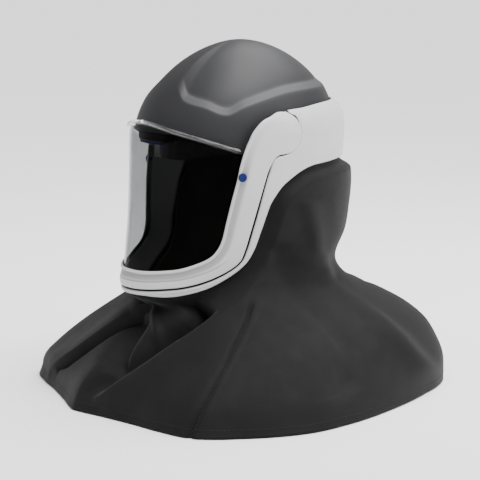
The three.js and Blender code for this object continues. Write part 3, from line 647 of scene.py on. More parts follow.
def collarRimRows():
    rows = []
    for row in faceStations:
        across = (row["clothTurn"] - row["seamTurn"]) * faceDegree
        down = (row["clothLevel"] - row["seamLevel"]) * skin["drop"]
        share = collar["seamGap"] / math.hypot(across, down)
        rows.append(dict(innerTurn=blend(row["seamTurn"], row["clothTurn"], share),
                         innerHeight=blend(row["seamLevel"], row["clothLevel"], share) * skin["drop"],
                         outerTurn=row["clothTurn"], outerHeight=row["clothLevel"] * skin["drop"]))
    for row in collarStations:
        turn, height = aboutPivot(row["edgeAngle"], row["edgeReach"] * arm["radius"] + row["gap"])
        rows.append(dict(innerTurn=float(turn), innerHeight=float(height),
                         outerTurn=row["clothTurn"], outerHeight=float(clothLineAt(row["clothTurn"]))))
    turn, height = aboutPivot(0, arm["radius"] + collar["hairGap"])
    rows.append(dict(innerTurn=float(turn), innerHeight=float(height),
                     outerTurn=float(turn), outerHeight=float(clothLineAt(turn))))
    return rows


def makeCollar():
    rimRows = collarRimRows()
    divide = rimRows[-1]

    def rim(u, v, inset):
        row = readAlong(rimRows, u)
        turn = blend(row["innerTurn"], row["outerTurn"], v)
        return skinPoint(turn, blend(row["innerHeight"], row["outerHeight"], v), inset)

    def arch(u, v, inset):
        angle = u * arm["archAngle"]
        notch = collar["notchGap"] * np.exp(-((angle - collar["notchAngle"]) / collar["notchWidth"]) ** 2)
        swing = 1 + arm["archFlare"] * ease((angle - arm["flareAngle"]) / (arm["archAngle"] - arm["flareAngle"]))
        turn, height = aboutPivot(angle, arm["radius"] * swing + collar["hairGap"] + notch)
        return skinPoint(turn, blend(height, collarTopAt(turn), v), inset)

    def rear(u, v, inset):
        turn = blend(divide["innerTurn"], 180, u)
        top, low = collarTopAt(turn), clothLineAt(turn)
        middle = blend(divide["innerHeight"], (top + low) / 2, ease(3 * u))
        height = np.where(v < 0.5, blend(top, middle, 2 * v), blend(middle, low, 2 * v - 1))
        return skinPoint(turn, height, inset)

    across = softRow(22)
    both = np.concatenate([(1 - across[::-1]) * 0.5, 0.5 + across[1:] * 0.5])
    grids = bothSides(evenRow(210), across, rim, "rim") + bothSides(softRow(44), across, arch, "arch")
    grids += bothSides(evenRow(90), both, rear, "rear")

    def roundness(grid, u, v):  # crisp where the collar meets the arm's round end, softer everywhere else
        beside = {"rim": ease((u * (len(rimRows) - 1) - collar["hairRow"]) / 2), "arch": 1, "rear": 0}[grid["part"]]
        beside = beside * ease((0.5 - v) / 0.2)
        return blend(collar["edge"], collar["hairEdge"], beside)

    def relief(grid, u, v, clear):  # a shallow roll just inside every edge
        middle = (collar["beadFrom"] + collar["beadTo"]) / 2
        half = (collar["beadTo"] - collar["beadFrom"]) / 2
        return collar["beadDepth"] * ease(1 - np.abs(clear - middle) / half)

    return sheetPiece("collarFrame", grids, collar["wall"], roundness, framePlastic, relief)


def makeLedge():  # a thin ledge that closes the notch above the arm's round end, clear of the arm as it turns
    def place(u, v, inset):
        turn, height = aboutPivot(blend(ledge["fromAngle"], ledge["toAngle"], u),
                                  arm["radius"] + blend(-ledge["under"], ledge["over"], v))
        return skinPoint(turn, height, ledge["depth"] + inset)

    grids = bothSides(evenRow(60), softRow(12), place)
    return sheetPiece("collarLedge", grids, ledge["wall"], ledge["edge"], framePlastic)


collarFrame = makeCollar()
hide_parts("collar_frame")
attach(collarFrame, "helmet")
collarLedge = makeLedge()
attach(collarLedge, "helmet")
print("collar frame made")

# Visor frame: the U that carries the visor, with a lip at the opening and a round arm end on each pivot
lift = dict(wall=2.8, edge=1.8, innerSide=0.6, lipWidth=4, lipFade=0.9, hollowWidth=10, hollowDepth=2.1,
            hollowEnd=0.16, outerHairRow=14, innerHairRow=17.6, hubInner=103.8, hubDepth=11.7, hubWall=1.1)
# The hollow's painted shade: its sides fade over millimetres, its end over shares of the frame's length
paintedShade = dict(lipFade=0.6, fieldFade=5, armShare=0.4, armFrom=0.04, armFade=0.1, end=0.3)


def makeVisorFrame():
    last = len(frameRows) - 1
    armFrom = (len(faceStations) - 1) / last

    def place(u, v, inset):
        row = readAlong(frameRows, u)
        turn = blend(row["innerTurn"], row["outerTurn"], v)
        return skinPoint(turn, blend(row["innerHeight"], row["outerHeight"], v), inset)

    def relief(grid, u, v, clear):
        inner = np.where(v < lift["innerSide"], clear, farAway)
        step = ease((inner - lift["lipWidth"] + lift["lipFade"]) / lift["lipFade"])
        slope = np.clip(1 - (inner - lift["lipWidth"]) / lift["hollowWidth"], 0, 1)
        return lift["hollowDepth"] * step * slope * (1 - ease((u - armFrom) / lift["hollowEnd"]))

    def roundness(grid, u, v):  # crisp where the arm's round end meets the collar
        outerSide = ease((u * last - lift["outerHairRow"]) / 1.5) * ease((v - 0.5) / 0.2)
        innerSide = ease(u * last - lift["innerHairRow"]) * ease((0.5 - v) / 0.2)
        return blend(lift["edge"], collar["hairEdge"], np.maximum(outerSide, innerSide))

    columns = np.concatenate([evenRow(230) * 0.94, 0.94 + softRow(26, 0.6)[1:] * 0.06])
    grids = bothSides(columns, softRow(56, 0.6), place)

    def mark(grid, u, v, clear):  # the hollow is painted darker than the lip and the field beside it, a painted shade on its sloping face
        across = np.where(v < lift["innerSide"], clear, farAway) - lift["lipWidth"]
        beyond = u - armFrom
        lipSide = ease((across + paintedShade["lipFade"]) / (2 * paintedShade["lipFade"]))
        fieldSide = ease((lift["hollowWidth"] - across) / paintedShade["fieldFade"])
        fade = blend(1, paintedShade["armShare"], ease((beyond + paintedShade["armFrom"]) / paintedShade["armFade"]))
        return lipSide * fieldSide * fade * (1 - ease(beyond / paintedShade["end"]))

    piece = sheetPiece("visorFrame", grids, lift["wall"], roundness, framePlastic, relief, mark)
    deep, wide, bore = lift["hubDepth"], arm["hubRadius"], arm["postRadius"] + arm["boreGap"]
    end = deep - lift["hubWall"]
    cup = [(0, deep), (wide, deep), (wide, 0), (bore, 0), (bore, end), (0, end)]
    for side in (1, -1):
        points, faces = lathe(cup, 40, (side, 0, 0), (side * lift["hubInner"], arm["back"], arm["rise"]))
        addSolid(piece, points, faces)
    return piece


visorFrame = makeVisorFrame()
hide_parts("visor_frame")
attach(visorFrame, "visor_unit")
print("visor frame made")

# Visor: one clear curved sheet behind the frame
window = dict(gap=0.6, wall=2, edge=0.5, railHeight=7, fit=0.4)


def makeVisor():
    inset = lift["wall"] + window["gap"]

    def place(u, v, depth):
        row = readAlong(visorStations, u)
        turn = blend(row["lowTurn"], row["highTurn"], v)
        high = railHeightAt(row["highTurn"]) - window["railHeight"] / 2 - window["fit"]
        return skinPoint(turn, blend(row["lowLevel"] * skin["drop"], high, v), inset + depth)

    grids = bothSides(softRow(60, 0.5), softRow(60, 0.5), place)
    return sheetPiece("visorWindow", grids, window["wall"], window["edge"], visorPlastic)


visorWindow = makeVisor()
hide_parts("visor")
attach(visorWindow, "visor_unit")
print("visor made")


# Geometry Nodes: sweeps along a path and stitches set along a path
def newTree(name, inputs):
    tree = bpy.data.node_groups.new(name, "GeometryNodeTree")
    tree.interface.new_socket("Geometry", in_out="INPUT", socket_type="NodeSocketGeometry")
    sockets = {}
    for label, kind, value in inputs:
        socket = tree.interface.new_socket(label, in_out="INPUT", socket_type=kind)
        socket.default_value = value
        sockets[label] = socket.identifier
    tree.interface.new_socket("Geometry", in_out="OUTPUT", socket_type="NodeSocketGeometry")
    nodes = tree.nodes
    return tree, nodes.new("NodeGroupInput"), nodes.new("NodeGroupOutput"), sockets


def finishTree(tree, geometry, material, output):
    realize = tree.nodes.new("GeometryNodeRealizeInstances")
    setMaterial = tree.nodes.new("GeometryNodeSetMaterial")
    setMaterial.inputs["Material"].default_value = material
    tree.links.new(geometry, realize.inputs["Geometry"])
    tree.links.new(realize.outputs["Geometry"], setMaterial.inputs["Geometry"])
    tree.links.new(setMaterial.outputs["Geometry"], output.inputs["Geometry"])


def sweepTree(name, material, closed):
    tree, entry, output, sockets = newTree(name, [
        ("Half Height", "NodeSocketFloat", 0.003), ("Half Depth", "NodeSocketFloat", 0.002),
        ("Sides", "NodeSocketInt", 16),
    ])
    nodes, links = tree.nodes, tree.links
    toCurve = nodes.new("GeometryNodeMeshToCurve")
    links.new(entry.outputs["Geometry"], toCurve.inputs["Mesh"])
    upright = nodes.new("GeometryNodeSetCurveNormal")
    upright.mode = "Z_UP"
    links.new(toCurve.outputs["Curve"], upright.inputs["Curve"])
    circle = nodes.new("GeometryNodeCurvePrimitiveCircle")
    circle.inputs["Radius"].default_value = 1
    links.new(entry.outputs["Sides"], circle.inputs["Resolution"])
    shape = nodes.new("ShaderNodeCombineXYZ")
    links.new(entry.outputs["Half Height"], shape.inputs["X"])
    links.new(entry.outputs["Half Depth"], shape.inputs["Y"])
    shape.inputs["Z"].default_value = 1
    scaled = nodes.new("GeometryNodeTransform")
    links.new(circle.outputs["Curve"], scaled.inputs["Geometry"])
    links.new(shape.outputs["Vector"], scaled.inputs["Scale"])
    sweep = nodes.new("GeometryNodeCurveToMesh")
    sweep.inputs["Fill Caps"].default_value = not closed
    links.new(upright.outputs["Curve"], sweep.inputs["Curve"])
    links.new(scaled.outputs["Geometry"], sweep.inputs["Profile Curve"])
    smooth = nodes.new("GeometryNodeSetShadeSmooth")
    links.new(sweep.outputs["Mesh"], smooth.inputs["Geometry"])
    finishTree(tree, smooth.outputs["Geometry"], material, output)
    return tree, sockets


def stitchTree(name, material):
    tree, entry, output, sockets = newTree(name, [
        ("Spacing", "NodeSocketFloat", 0.005), ("Stitch Length", "NodeSocketFloat", 0.003),
        ("Thread Radius", "NodeSocketFloat", 0.0004),
    ])
    nodes, links = tree.nodes, tree.links
    toCurve = nodes.new("GeometryNodeMeshToCurve")
    links.new(entry.outputs["Geometry"], toCurve.inputs["Mesh"])
    spots = nodes.new("GeometryNodeCurveToPoints")
    spots.mode = "LENGTH"
    links.new(toCurve.outputs["Curve"], spots.inputs["Curve"])
    links.new(entry.outputs["Spacing"], spots.inputs["Length"])
    thread = nodes.new("GeometryNodeMeshUVSphere")
    thread.inputs["Segments"].default_value = 6
    thread.inputs["Rings"].default_value = 5
    thread.inputs["Radius"].default_value = 0.5
    thick = nodes.new("ShaderNodeMath")
    thick.operation = "MULTIPLY"
    thick.inputs[1].default_value = 2
    links.new(entry.outputs["Thread Radius"], thick.inputs[0])
    size = nodes.new("ShaderNodeCombineXYZ")
    links.new(thick.outputs["Value"], size.inputs["X"])
    links.new(thick.outputs["Value"], size.inputs["Y"])
    links.new(entry.outputs["Stitch Length"], size.inputs["Z"])
    shaped = nodes.new("GeometryNodeTransform")
    links.new(thread.outputs["Mesh"], shaped.inputs["Geometry"])
    links.new(size.outputs["Vector"], shaped.inputs["Scale"])
    scatter = nodes.new("GeometryNodeInstanceOnPoints")
    links.new(spots.outputs["Points"], scatter.inputs["Points"])
    links.new(shaped.outputs["Geometry"], scatter.inputs["Instance"])
    links.new(spots.outputs["Rotation"], scatter.inputs["Rotation"])
    finishTree(tree, scatter.outputs["Instances"], material, output)
    return tree, sockets


def alongPath(name, path, tree, sockets, values, material, closed=False):
    count = len(path)
    edges = [(index, index + 1) for index in range(count - 1)] + ([(count - 1, 0)] if closed else [])
    guide = bpy.data.meshes.new(name + "Path")
    guide.from_pydata(((np.asarray(path) + skinPlace) * millimetre).tolist(), edges, [])
    carrier = bpy.data.objects.new(name + "Carrier", guide)
    bpy.context.scene.collection.objects.link(carrier)
    modifier = carrier.modifiers.new("nodes", "NODES")
    modifier.node_group = tree
    for label, value in values.items():
        modifier[sockets[label]] = value
    shaped = carrier.evaluated_get(bpy.context.evaluated_depsgraph_get())
    mesh = bpy.data.meshes.new_from_object(shaped)
    mesh.name = name
    bpy.data.objects.remove(carrier)
    bpy.data.meshes.remove(guide)
    if not mesh.materials:
        mesh.materials.append(material)
    piece = bpy.data.objects.new(name, mesh)
    bpy.context.scene.collection.objects.link(piece)
    return piece


# Visor rail: a clear rod swept along the visor's top edge
rail = dict(end=64.6, height=7, depth=5, inset=0.4, columns=180, sides=20)


def makeRail():
    tree, sockets = sweepTree("railSweep", railPlastic, False)
    turns = np.linspace(-rail["end"], rail["end"], rail["columns"])
    path = skinPoint(turns, railHeightAt(turns), np.full_like(turns, rail["inset"] + rail["depth"] / 2))
    values = {"Half Height": rail["height"] / 2 * millimetre, "Half Depth": rail["depth"] / 2 * millimetre,
              "Sides": rail["sides"]}
    return alongPath("visorRail", path, tree, sockets, values, railPlastic)


visorRail = makeRail()
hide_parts("visor_rail")
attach(visorRail, "visor_unit")
print("visor rail made")

# Fasteners: round blue buttons whose stems pass through the frame and the visor
button = dict(turn=66.4, level=-0.272, radius=5.2, height=2.4, stem=2, fit=0.4, chamfer=0.3, shoulder=1.1,
              dishShare=0.55, dishRim=0.15, dish=0.3)


def makeFastener(name, side, node):
    height = np.array(button["level"] * skin["drop"])
    turn = np.array(float(side * button["turn"]))
    seat = skinPoint(turn, height, np.array(0.0))
    outwards = unit(seat - skinPoint(turn, height, np.array(1.0)))
    depth = -(lift["wall"] + window["gap"] + window["wall"])
    radius, rise, stem, fit = (button[key] for key in ("radius", "height", "stem", "fit"))
    chamfer, shoulder = button["chamfer"], button["shoulder"]
    outline = [(0, depth), (stem, depth), (stem, fit), (radius - chamfer, fit), (radius, fit + chamfer),
               (radius, rise * 0.5)]
    for step in range(1, 7):  # rounded shoulder up to a slightly dished face
        angle = step / 6 * math.pi / 2
        reach = radius - shoulder + shoulder * math.cos(angle)
        outline.append((reach, rise * 0.5 + rise * 0.5 * math.sin(angle)))
    outline += [(radius * button["dishShare"], rise - button["dishRim"]), (0, rise - button["dish"])]
    points, faces = lathe(outline, 40, outwards, seat)
    piece = makeMesh(name, points, faces, None, bluePlastic)
    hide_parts(node)
    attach(piece, "visor_unit")
    return piece


makeFastener("fastenerLeft", 1, "fastener_left")
makeFastener("fastenerRight", -1, "fastener_right")
print("fasteners made")

# Face seal: a band of elasticated cloth that turns back on itself at the visor's opening
seal = dict(wall=1.6, edge=0.6, depth=33, browDepth=56, clothGap=0.8, clothWall=2, endRow=1.7, browFrom=0.7,
            browSpan=0.35)


def makeSeal():
    behindCloth = collar["wall"] + seal["clothGap"] + seal["clothWall"] + window["fit"]
    behindVisor = lift["wall"] + window["gap"] + window["wall"] + window["fit"]
    shallow, deep = ([
        dict(over=1.06, inset=behindCloth + window["fit"]),
        dict(over=0.8, inset=behindVisor + window["fit"]),
        dict(over=0.22, inset=behindVisor + window["fit"]),
        dict(over=0.14, inset=behindVisor + 2 * seal["wall"]),
        dict(over=0.3, inset=behindVisor + depth * 0.45),
        dict(over=0.5, inset=behindVisor + depth * 0.85),
    ] for depth in (seal["depth"], seal["browDepth"]))
    upperEnd = (len(faceStations) - seal["endRow"]) / (len(frameRows) - 1)
    nudge = 0.02

    def place(u, v, inset):
        row = readAlong(frameRows, u * upperEnd)
        wide = (row["outerTurn"] - row["innerTurn"]) * faceDegree
        width = np.hypot(wide, row["outerHeight"] - row["innerHeight"])
        brow = ease((u - seal["browFrom"]) / seal["browSpan"])

        def profile(along):
            low, high = readAlong(shallow, along), readAlong(deep, along)
            return {key: blend(low[key], high[key], brow) for key in low}

        here = profile(v)
        before, after = profile(np.maximum(v - nudge, 0)), profile(np.minimum(v + nudge, 1))
        across, deeper = (after["over"] - before["over"]) * width, after["inset"] - before["inset"]
        size = np.hypot(across, deeper)
        over = here["over"] + inset * deeper / size / width
        turn = blend(row["innerTurn"], row["outerTurn"], over)
        height = blend(row["innerHeight"], row["outerHeight"], over)
        return skinPoint(turn, height, here["inset"] - inset * across / size)

    grids = bothSides(evenRow(150), evenRow(50), place)
    return sheetPiece("faceSeal", grids, seal["wall"], seal["edge"], sealCloth)


faceSeal = makeSeal()
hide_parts("face_seal")
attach(faceSeal, "helmet")
print("face seal made")

# Head harness and brow duct keep their CAD shapes and take finer materials
harness = (("headband", harnessPlastic), ("brow_duct", harnessPlastic), ("air_deflector", bluePlastic))
for nodeName, material in harness:
    node = bpy.data.objects[nodeName]
    node.data.materials.clear()
    node.data.materials.append(material)
print("harness dressed")

# Shroud: cloth that comes out from under the collar and spreads over the shoulders
shroud = dict(radius=254, drop=324, back=13, tuck=9, gap=0.8, wall=1.6, columns=430, rows=112, breakAt=14,
              foldAt=10, leanFrom=0.54, hemFrom=0.58, hemSpan=0.34, lineEnd=184, middle=-150, laidRadius=200)
clothSections = [
    dict(drop=0.1, side=0.475, front=0.5, rear=0.64, back=0),
    dict(drop=0.2, side=0.475, front=0.5, rear=0.655, back=0),
    dict(drop=0.3, side=0.46, front=0.51, rear=0.65, back=0),
    dict(drop=0.4, side=0.435, front=0.53, rear=0.635, back=0),
    dict(drop=0.5, side=0.415, front=0.55, rear=0.575, back=0),
    dict(drop=0.56, side=0.43, front=0.54, rear=0.6, back=0.1),
    dict(drop=0.61, side=0.495, front=0.5, rear=0.675, back=0.3),
    dict(drop=0.64, side=0.56, front=0.49, rear=0.765, back=0.4),
    dict(drop=0.67, side=0.635, front=0.53, rear=0.83, back=0.5),
    dict(drop=0.715, side=0.73, front=0.605, rear=0.91, back=0.65),
    dict(drop=0.775, side=0.825, front=0.72, rear=0.98, back=0.8),
    dict(drop=0.84, side=0.9, front=0.84, rear=1.005, back=0.9),
    dict(drop=0.91, side=0.96, front=0.945, rear=1.015, back=1),
    dict(drop=1.0, side=1.0, front=1.0, rear=1.0, back=1),
]
hemStations = [
    dict(turn=0, reach=0.945),
    dict(turn=12, reach=0.91),
    dict(turn=24, reach=0.92),
    dict(turn=34, reach=0.97),
    dict(turn=45, reach=1.035),
    dict(turn=58, reach=1.015),
    dict(turn=75, reach=0.985),
    dict(turn=92, reach=0.925),
    dict(turn=111, reach=0.9),
    dict(turn=130, reach=0.94),
    dict(turn=149, reach=1.035),
    dict(turn=165, reach=1.04),
    dict(turn=180, reach=1.02),
]
# Each fold runs beside its own line of turns and drops, aside millimetres to its left: stand is the fold's
# height, left and right its widths either side, and taper the share of its length over which it fades out
foldFade = dict(before=0.05, start=0.15, beyond=0.15, taper=0.3, hemShare=0.2, hemSpan=0.12)
crossingPath = ((78.5, 0.5), (71, 0.545), (58.5, 0.595), (43, 0.642), (33, 0.695), (26.5, 0.742), (22, 0.79),
                (8.5, 0.95))
foldLines = [
    dict(path=crossingPath, aside=0, stand=6, left=6, right=38),
    dict(path=crossingPath, aside=11, stand=-42, left=15, right=7, taper=0.9),
    dict(path=((3, 0.63), (-1, 0.662), (-6, 0.707), (-10.5, 0.757), (-15.5, 0.817), (-22, 0.885),
               (-31, 0.955)), aside=4, stand=8, left=34, right=4.5),
    dict(path=((1, 0.645), (-1, 0.662), (-6, 0.707), (-10.5, 0.757), (-15.5, 0.817), (-22, 0.885),
               (-27, 0.925)), aside=-2.5, stand=-11, left=3, right=5),
    dict(path=((3, 0.68), (4.5, 0.735), (6, 0.785), (9, 0.84)), aside=0, stand=-14, left=20, right=8),
    dict(path=((5, 0.622), (8.5, 0.67), (14, 0.712), (20.5, 0.777)), aside=0, stand=5, left=5, right=6),
    dict(path=((101, 0.24), (106, 0.33), (113, 0.45)), aside=0, stand=4, left=9, right=14),
    dict(path=((88, 0.4), (92, 0.5), (96, 0.62), (97, 0.75)), aside=0, stand=-5, left=12, right=16),
    dict(path=((114, 0.45), (122, 0.56), (118, 0.67), (122, 0.78), (138, 0.98)),
         aside=0, stand=7, left=22, right=18),
    dict(path=((124, 0.56), (116, 0.64), (104, 0.74), (90, 0.9)), aside=0, stand=-7, left=24, right=22),
    dict(path=((168, 0.3), (170, 0.55), (173, 0.75), (176, 0.95)), aside=0, stand=-10, left=26, right=22),
    dict(path=((-150, 0.4), (-150, 0.6), (-154, 0.8), (-158, 0.98)), aside=0, stand=9, left=22, right=24),
    dict(path=((-118, 0.35), (-121, 0.55), (-125, 0.75), (-128, 0.95)), aside=0, stand=-9, left=22, right=20),
    dict(path=((-100, 0.25), (-96, 0.45), (-94, 0.7), (-92, 0.9)), aside=0, stand=8, left=19, right=24),
    dict(path=((-64, 0.56), (-60, 0.68), (-58, 0.82), (-58, 0.96)), aside=0, stand=-10, left=20, right=24),
]
seamPath = ((72, 0.59), (60.5, 0.642), (51.5, 0.712), (48, 0.792), (46.3, 0.877), (44, 0.985))
seam = dict(depth=3.4, width=2.4, lap=0.6, lapWidth=11, fade=0.12)
# Columns of the cloth's mesh lean with the folds below the neck, from a turn there to a turn at the hem
leaningColumns = [
    dict(column=0, topTurn=-180, hemTurn=-180),
    dict(column=8, topTurn=-112, hemTurn=-122),
    dict(column=18, topTurn=-64, hemTurn=-68),
    dict(column=32, topTurn=8, hemTurn=-36),
    dict(column=46, topTurn=66, hemTurn=4),
    dict(column=54, topTurn=78, hemTurn=44),
    dict(column=61, topTurn=97, hemTurn=90),
    dict(column=67, topTurn=125, hemTurn=134),
    dict(column=73, topTurn=180, hemTurn=180),
]


def clothSurface(turn, height):
    drop = -np.asarray(height) / shroud["drop"]
    section = readTable(clothSections, "drop", drop)
    hem = readTable(hemStations, "turn", fromFront(turn))["reach"]
    spread = shroud["radius"] * blend(1, hem, ease((drop - shroud["hemFrom"]) / shroud["hemSpan"]))
    angle = np.radians(turn)
    reach = spread * np.where(np.cos(angle) > 0, section["front"], section["rear"])
    return stacked(spread * section["side"] * np.sin(angle),
                   section["back"] * shroud["back"] - reach * np.cos(angle), height)


def pathTurn(path, drop):
    rows = [dict(drop=place, turn=turn) for turn, place in path]
    return readTable(rows, "drop", drop)["turn"]


def squareTo(path, turn, drop, radius):  # distance square to a line on the cloth, less than 0 on its left
    nudge = 0.004
    sideways = np.radians(pathTurn(path, drop + nudge) - pathTurn(path, drop - nudge)) * radius
    before, after = (readTable(clothSections, "drop", drop + step)["side"] for step in (-nudge, nudge))
    downwards = np.hypot(2 * nudge * shroud["drop"], (after - before) * shroud["radius"])
    aside = (turn - pathTurn(path, drop) + 540) % 360 - 180
    return np.radians(aside) * radius / np.hypot(1, sideways / downwards)


def foldsAt(turn, drop, radius):
    stand = np.zeros_like(turn)
    for fold in foldLines:
        first, last = fold["path"][0][1], fold["path"][-1][1]
        along = (drop - first) / (last - first)
        away = squareTo(fold["path"], turn, drop, radius) + fold["aside"]
        across = away / np.where(away < 0, fold["left"], fold["right"])
        fadeIn = ease((along + foldFade["before"]) / foldFade["start"])
        fadeOut = ease((1 + foldFade["beyond"] - along) / fold.get("taper", foldFade["taper"]))
        stand += fold["stand"] * np.exp(-across ** 2) * fadeIn * fadeOut
    return stand * blend(foldFade["hemShare"], 1, ease((1 - drop) / foldFade["hemSpan"]))


def seamAt(turn, drop, radius):  # the sewn seam pulls the cloth in along a narrow line, lapped on one side
    first, last = seamPath[0][1], seamPath[-1][1]
    along = (drop - first) / (last - first)
    away = squareTo(seamPath, turn, drop, radius)
    groove = seam["depth"] * np.exp(-(away / seam["width"]) ** 2)
    lap = seam["lap"] * ease(away / seam["width"]) * ease((seam["lapWidth"] - away) / seam["width"])
    return (lap - groove) * ease(along / seam["fade"])


def belowLine(turn, height):  # how far a point of the cloth lies from the cloth line, less than 0 above it
    spots = np.linspace(-shroud["lineEnd"], shroud["lineEnd"], 2 * shroud["lineEnd"] + 1)
    levels = clothLineAt(spots)
    across, clear = turn * faceDegree, np.full(np.shape(turn), np.inf)
    for here in range(len(spots) - 1):
        start = np.array([spots[here] * faceDegree, levels[here]])
        run = np.array([spots[here + 1] * faceDegree, levels[here + 1]]) - start
        share = np.clip(((across - start[0]) * run[0] + (height - start[1]) * run[1]) / (run @ run), 0, 1)
        away = np.hypot(across - start[0] - share * run[0], height - start[1] - share * run[1])
        clear = np.minimum(clear, away)
    return np.where(height > clothLineAt(turn), -clear, clear)


def clothPoint(turn, height):
    clear = belowLine(turn, height)
    tucked = skinPoint(turn, height, np.full_like(turn, collar["wall"] + shroud["gap"]))
    free = clothSurface(turn, height)
    loose = ease((clear - collar["wall"]) / shroud["breakAt"])
    folded = ease(clear / shroud["foldAt"])
    drop, radius = -height / shroud["drop"], np.hypot(free[..., 0], free[..., 1] - shroud["back"])
    stand = folded * (foldsAt(turn, drop, radius) + seamAt(turn, drop, radius))
    moved = insetPoint(clothSurface, turn, height, -stand)
    return blend(tucked, moved, loose[..., None])


def makeShroud():
    lean = readTable(leaningColumns, "column", evenRow(shroud["columns"]) * leaningColumns[-1]["column"])
    turns = lean["topTurn"]
    rows = shroud["rows"]
    share = np.concatenate([[-1], evenRow(rows - 1)])
    topTurn, fall = np.meshgrid(turns, share, indexing="ij")
    hemTurn = np.broadcast_to(lean["hemTurn"][:, None], topTurn.shape)
    line = clothLineAt(topTurn)
    height = np.where(fall < 0, line + shroud["tuck"], blend(line, -shroud["drop"], np.maximum(fall, 0)))
    leanFrom = np.maximum(-line / shroud["drop"], shroud["leanFrom"])
    turn = blend(topTurn, hemTurn, np.clip((-height / shroud["drop"] - leanFrom) / (1 - leanFrom), 0, 1))
    outer = clothPoint(turn, height)
    along = np.gradient(outer, axis=0)
    along[0] = along[-1] = outer[1] - outer[-2]
    normal = unit(np.cross(along, np.gradient(outer, axis=1)))
    centre = np.array([0, shroud["back"], shroud["middle"]])
    if np.mean(np.sum(normal * (outer - centre), axis=-1)) < 0:
        normal = -normal
    inner = outer - normal * shroud["wall"]
    columns = len(turns) - 1
    count = columns * (rows + 1)
    points = np.concatenate([outer[:-1].reshape(-1, 3), inner[:-1].reshape(-1, 3)])
    faces, uvs = [], []
    steps = np.linalg.norm(np.diff(outer, axis=1, prepend=outer[:, :1]), axis=-1)
    down = np.cumsum(steps, axis=1) * millimetre
    laidAcross = np.radians(turns) * (shroud["laidRadius"] * millimetre)

    def uvOf(column, row):
        return (laidAcross[column], down[min(column, columns - 1), row])

    for column in range(columns):
        following = (column + 1) % columns
        for row in range(rows):
            quad = [column * (rows + 1) + row, following * (rows + 1) + row,
                    following * (rows + 1) + row + 1, column * (rows + 1) + row + 1]
            places = [uvOf(column, row), uvOf(column + 1, row),
                      uvOf(column + 1, row + 1), uvOf(column, row + 1)]
            faces.append(quad)
            uvs += places
            faces.append([corner + count for corner in reversed(quad)])
            uvs += list(reversed(places))
        for row in (0, rows):
            here, there = column * (rows + 1) + row, following * (rows + 1) + row
            edge = [there, here, here + count, there + count]
            places = [uvOf(column + 1, row), uvOf(column, row), uvOf(column, row), uvOf(column + 1, row)]
            faces.append(edge if row == 0 else edge[::-1])
            uvs += places if row == 0 else places[::-1]
    if signedVolume(points, faces) < 0:
        faces = [face[::-1] for face in faces]
        uvs = [corner for start in range(0, len(uvs), 4) for corner in reversed(uvs[start:start + 4])]
    area = 0.0
    for first, second in ((outer[1:, :-1] - outer[:-1, :-1], outer[:-1, 1:] - outer[:-1, :-1]),
                          (outer[:-1, 1:] - outer[1:, 1:], outer[1:, :-1] - outer[1:, 1:])):
        area += np.linalg.norm(np.cross(first, second), axis=-1).sum() / 2
    print("shroud cloth area, square metres:", round(area * millimetre ** 2, 4))
    return makeMesh("shroudCloth", points, faces, uvs, shroudCloth)


shroudPiece = makeShroud()
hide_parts("shroud")
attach(shroudPiece, "helmet")

# Stitches along the hem and along the seam
stitch = dict(hemRise=9, spacing=4.6, length=3.2, radius=0.42, seamAside=3.4, seamFrom=0.63, seamTo=0.97)


def stitchRow(name, turns, heights, closed):
    tree, sockets = stitchTree(name + "Nodes", threadCloth)
    path = clothPoint(turns, heights)
    values = {"Spacing": stitch["spacing"] * millimetre, "Stitch Length": stitch["length"] * millimetre,
              "Thread Radius": stitch["radius"] * millimetre}
    piece = alongPath(name, path, tree, sockets, values, threadCloth, closed)
    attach(piece, "helmet")
    return piece


hemTurns = np.linspace(-180, 180, 721)[:-1]
hemHeights = np.full_like(hemTurns, stitch["hemRise"] - shroud["drop"])
hemStitches = stitchRow("hemStitches", hemTurns, hemHeights, True)
seamDrops = np.linspace(stitch["seamFrom"], stitch["seamTo"], 90)
seamTurns = pathTurn(seamPath, seamDrops)
seamRadius = shroud["radius"] * readTable(clothSections, "drop", seamDrops)["side"]
seamTurns = seamTurns + np.degrees(stitch["seamAside"] / seamRadius)
seamStitches = stitchRow("seamStitches", seamTurns, -seamDrops * shroud["drop"], False)
print("shroud made")

# Studio: a pale floor just under the hem, soft light all round, and the photograph's camera
studio = dict(floorSize=60, floorGap=0.6, floorShade=0.95, skyPower=4.3, skySpread=40, skyAzimuth=100,
              skyElevation=64, worldPower=0.6, aim=(0, 0, -0.08))


def towards(azimuth, elevation):  # a unit vector, 0 degrees round being straight in front of the face
    around, above = math.radians(azimuth), math.radians(elevation)
    return Vector((math.sin(around) * math.cos(above), -math.cos(around) * math.cos(above), math.sin(above)))


def makeFloor():
    half = studio["floorSize"] / 2
    low = float(cadBox[0][2]) - studio["floorGap"] * millimetre
    mesh = bpy.data.meshes.new("floor")
    corners = [(-half, -half, low), (half, -half, low), (half, half, low), (-half, half, low)]
    mesh.from_pydata(corners, [], [(0, 1, 2, 3)])
    material, nodes, links, shader, place = startMaterial("floorPaint")
    shader.inputs["Base Color"].default_value = (studio["floorShade"],) * 3 + (1,)
    shader.inputs["Roughness"].default_value = 0.9
    shader.inputs["Specular IOR Level"].default_value = 0.1
    mesh.materials.append(material)
    floor = bpy.data.objects.new("floor", mesh)
    bpy.context.scene.collection.objects.link(floor)


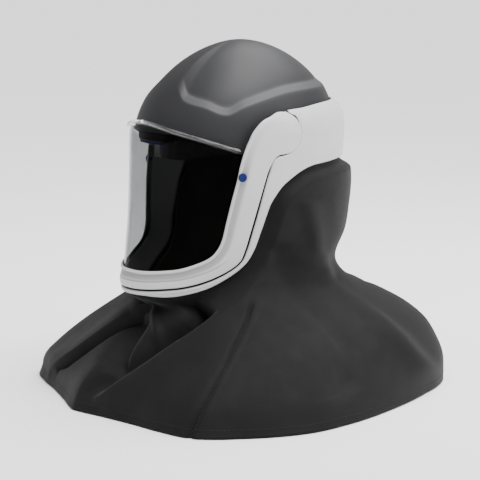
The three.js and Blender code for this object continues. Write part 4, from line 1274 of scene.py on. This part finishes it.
def addSoftbox(name, azimuth, elevation, distance, size, power):
    data = bpy.data.lights.new(name, "AREA")
    data.shape = "RECTANGLE"
    data.size, data.size_y = size
    data.energy = power
    lamp = bpy.data.objects.new(name, data)
    away = towards(azimuth, elevation)
    lamp.location = Vector(studio["aim"]) + away * distance
    lamp.rotation_euler = away.to_track_quat("Z", "Y").to_euler()
    bpy.context.scene.collection.objects.link(lamp)


def addSky():
    data = bpy.data.lights.new("skylight", "SUN")
    data.energy = studio["skyPower"]
    data.angle = math.radians(studio["skySpread"])
    lamp = bpy.data.objects.new("skylight", data)
    lamp.rotation_euler = towards(studio["skyAzimuth"], studio["skyElevation"]).to_track_quat("Z", "Y").to_euler()
    bpy.context.scene.collection.objects.link(lamp)
    world = bpy.data.worlds.new("studioWorld")
    world.use_nodes = True
    world.node_tree.nodes["Background"].inputs["Color"].default_value = (1, 1, 1, 1)
    world.node_tree.nodes["Background"].inputs["Strength"].default_value = studio["worldPower"]
    bpy.context.scene.world = world


makeFloor()
addSky()
addSoftbox("softboxTop", azimuth=190, elevation=66, distance=1.6, size=(1.3, 1.3), power=32)
addSoftbox("softboxRight", azimuth=138, elevation=34, distance=2.0, size=(0.8, 1.6), power=12)

view = dict(azimuth=56, elevation=10, distance=2200, pixelsPerMillimetre=0.8, imageSize=480, sensor=36,
            sideInPhoto=(285, 137), middle=(0, 10, -100))


def makeCamera():
    around = math.radians(view["azimuth"])
    back = towards(view["azimuth"], view["elevation"])
    right = Vector((math.cos(around), math.sin(around), 0))
    up = back.cross(right)
    focal = view["pixelsPerMillimetre"] * view["distance"]
    nearSide = Vector((skin["side"], 0, 0))
    depth = (nearSide - Vector(view["middle"])).dot(back)
    perPixel = (view["distance"] - depth) / focal
    half = view["imageSize"] / 2
    target = nearSide - back * depth
    target -= right * (view["sideInPhoto"][0] - half) * perPixel
    target -= up * (half - view["sideInPhoto"][1]) * perPixel
    data = bpy.data.cameras.new("camera")
    data.sensor_width = view["sensor"]
    data.lens = focal * view["sensor"] / view["imageSize"]
    data.clip_end = 200
    camera = bpy.data.objects.new("camera", data)
    place = (target + back * view["distance"] + Vector(skinPlace)) * millimetre
    turned = Matrix((right, up, back)).transposed().to_4x4()
    camera.matrix_world = Matrix.Translation(place) @ turned
    bpy.context.scene.collection.objects.link(camera)
    bpy.context.scene.camera = camera


makeCamera()
print("studio made")
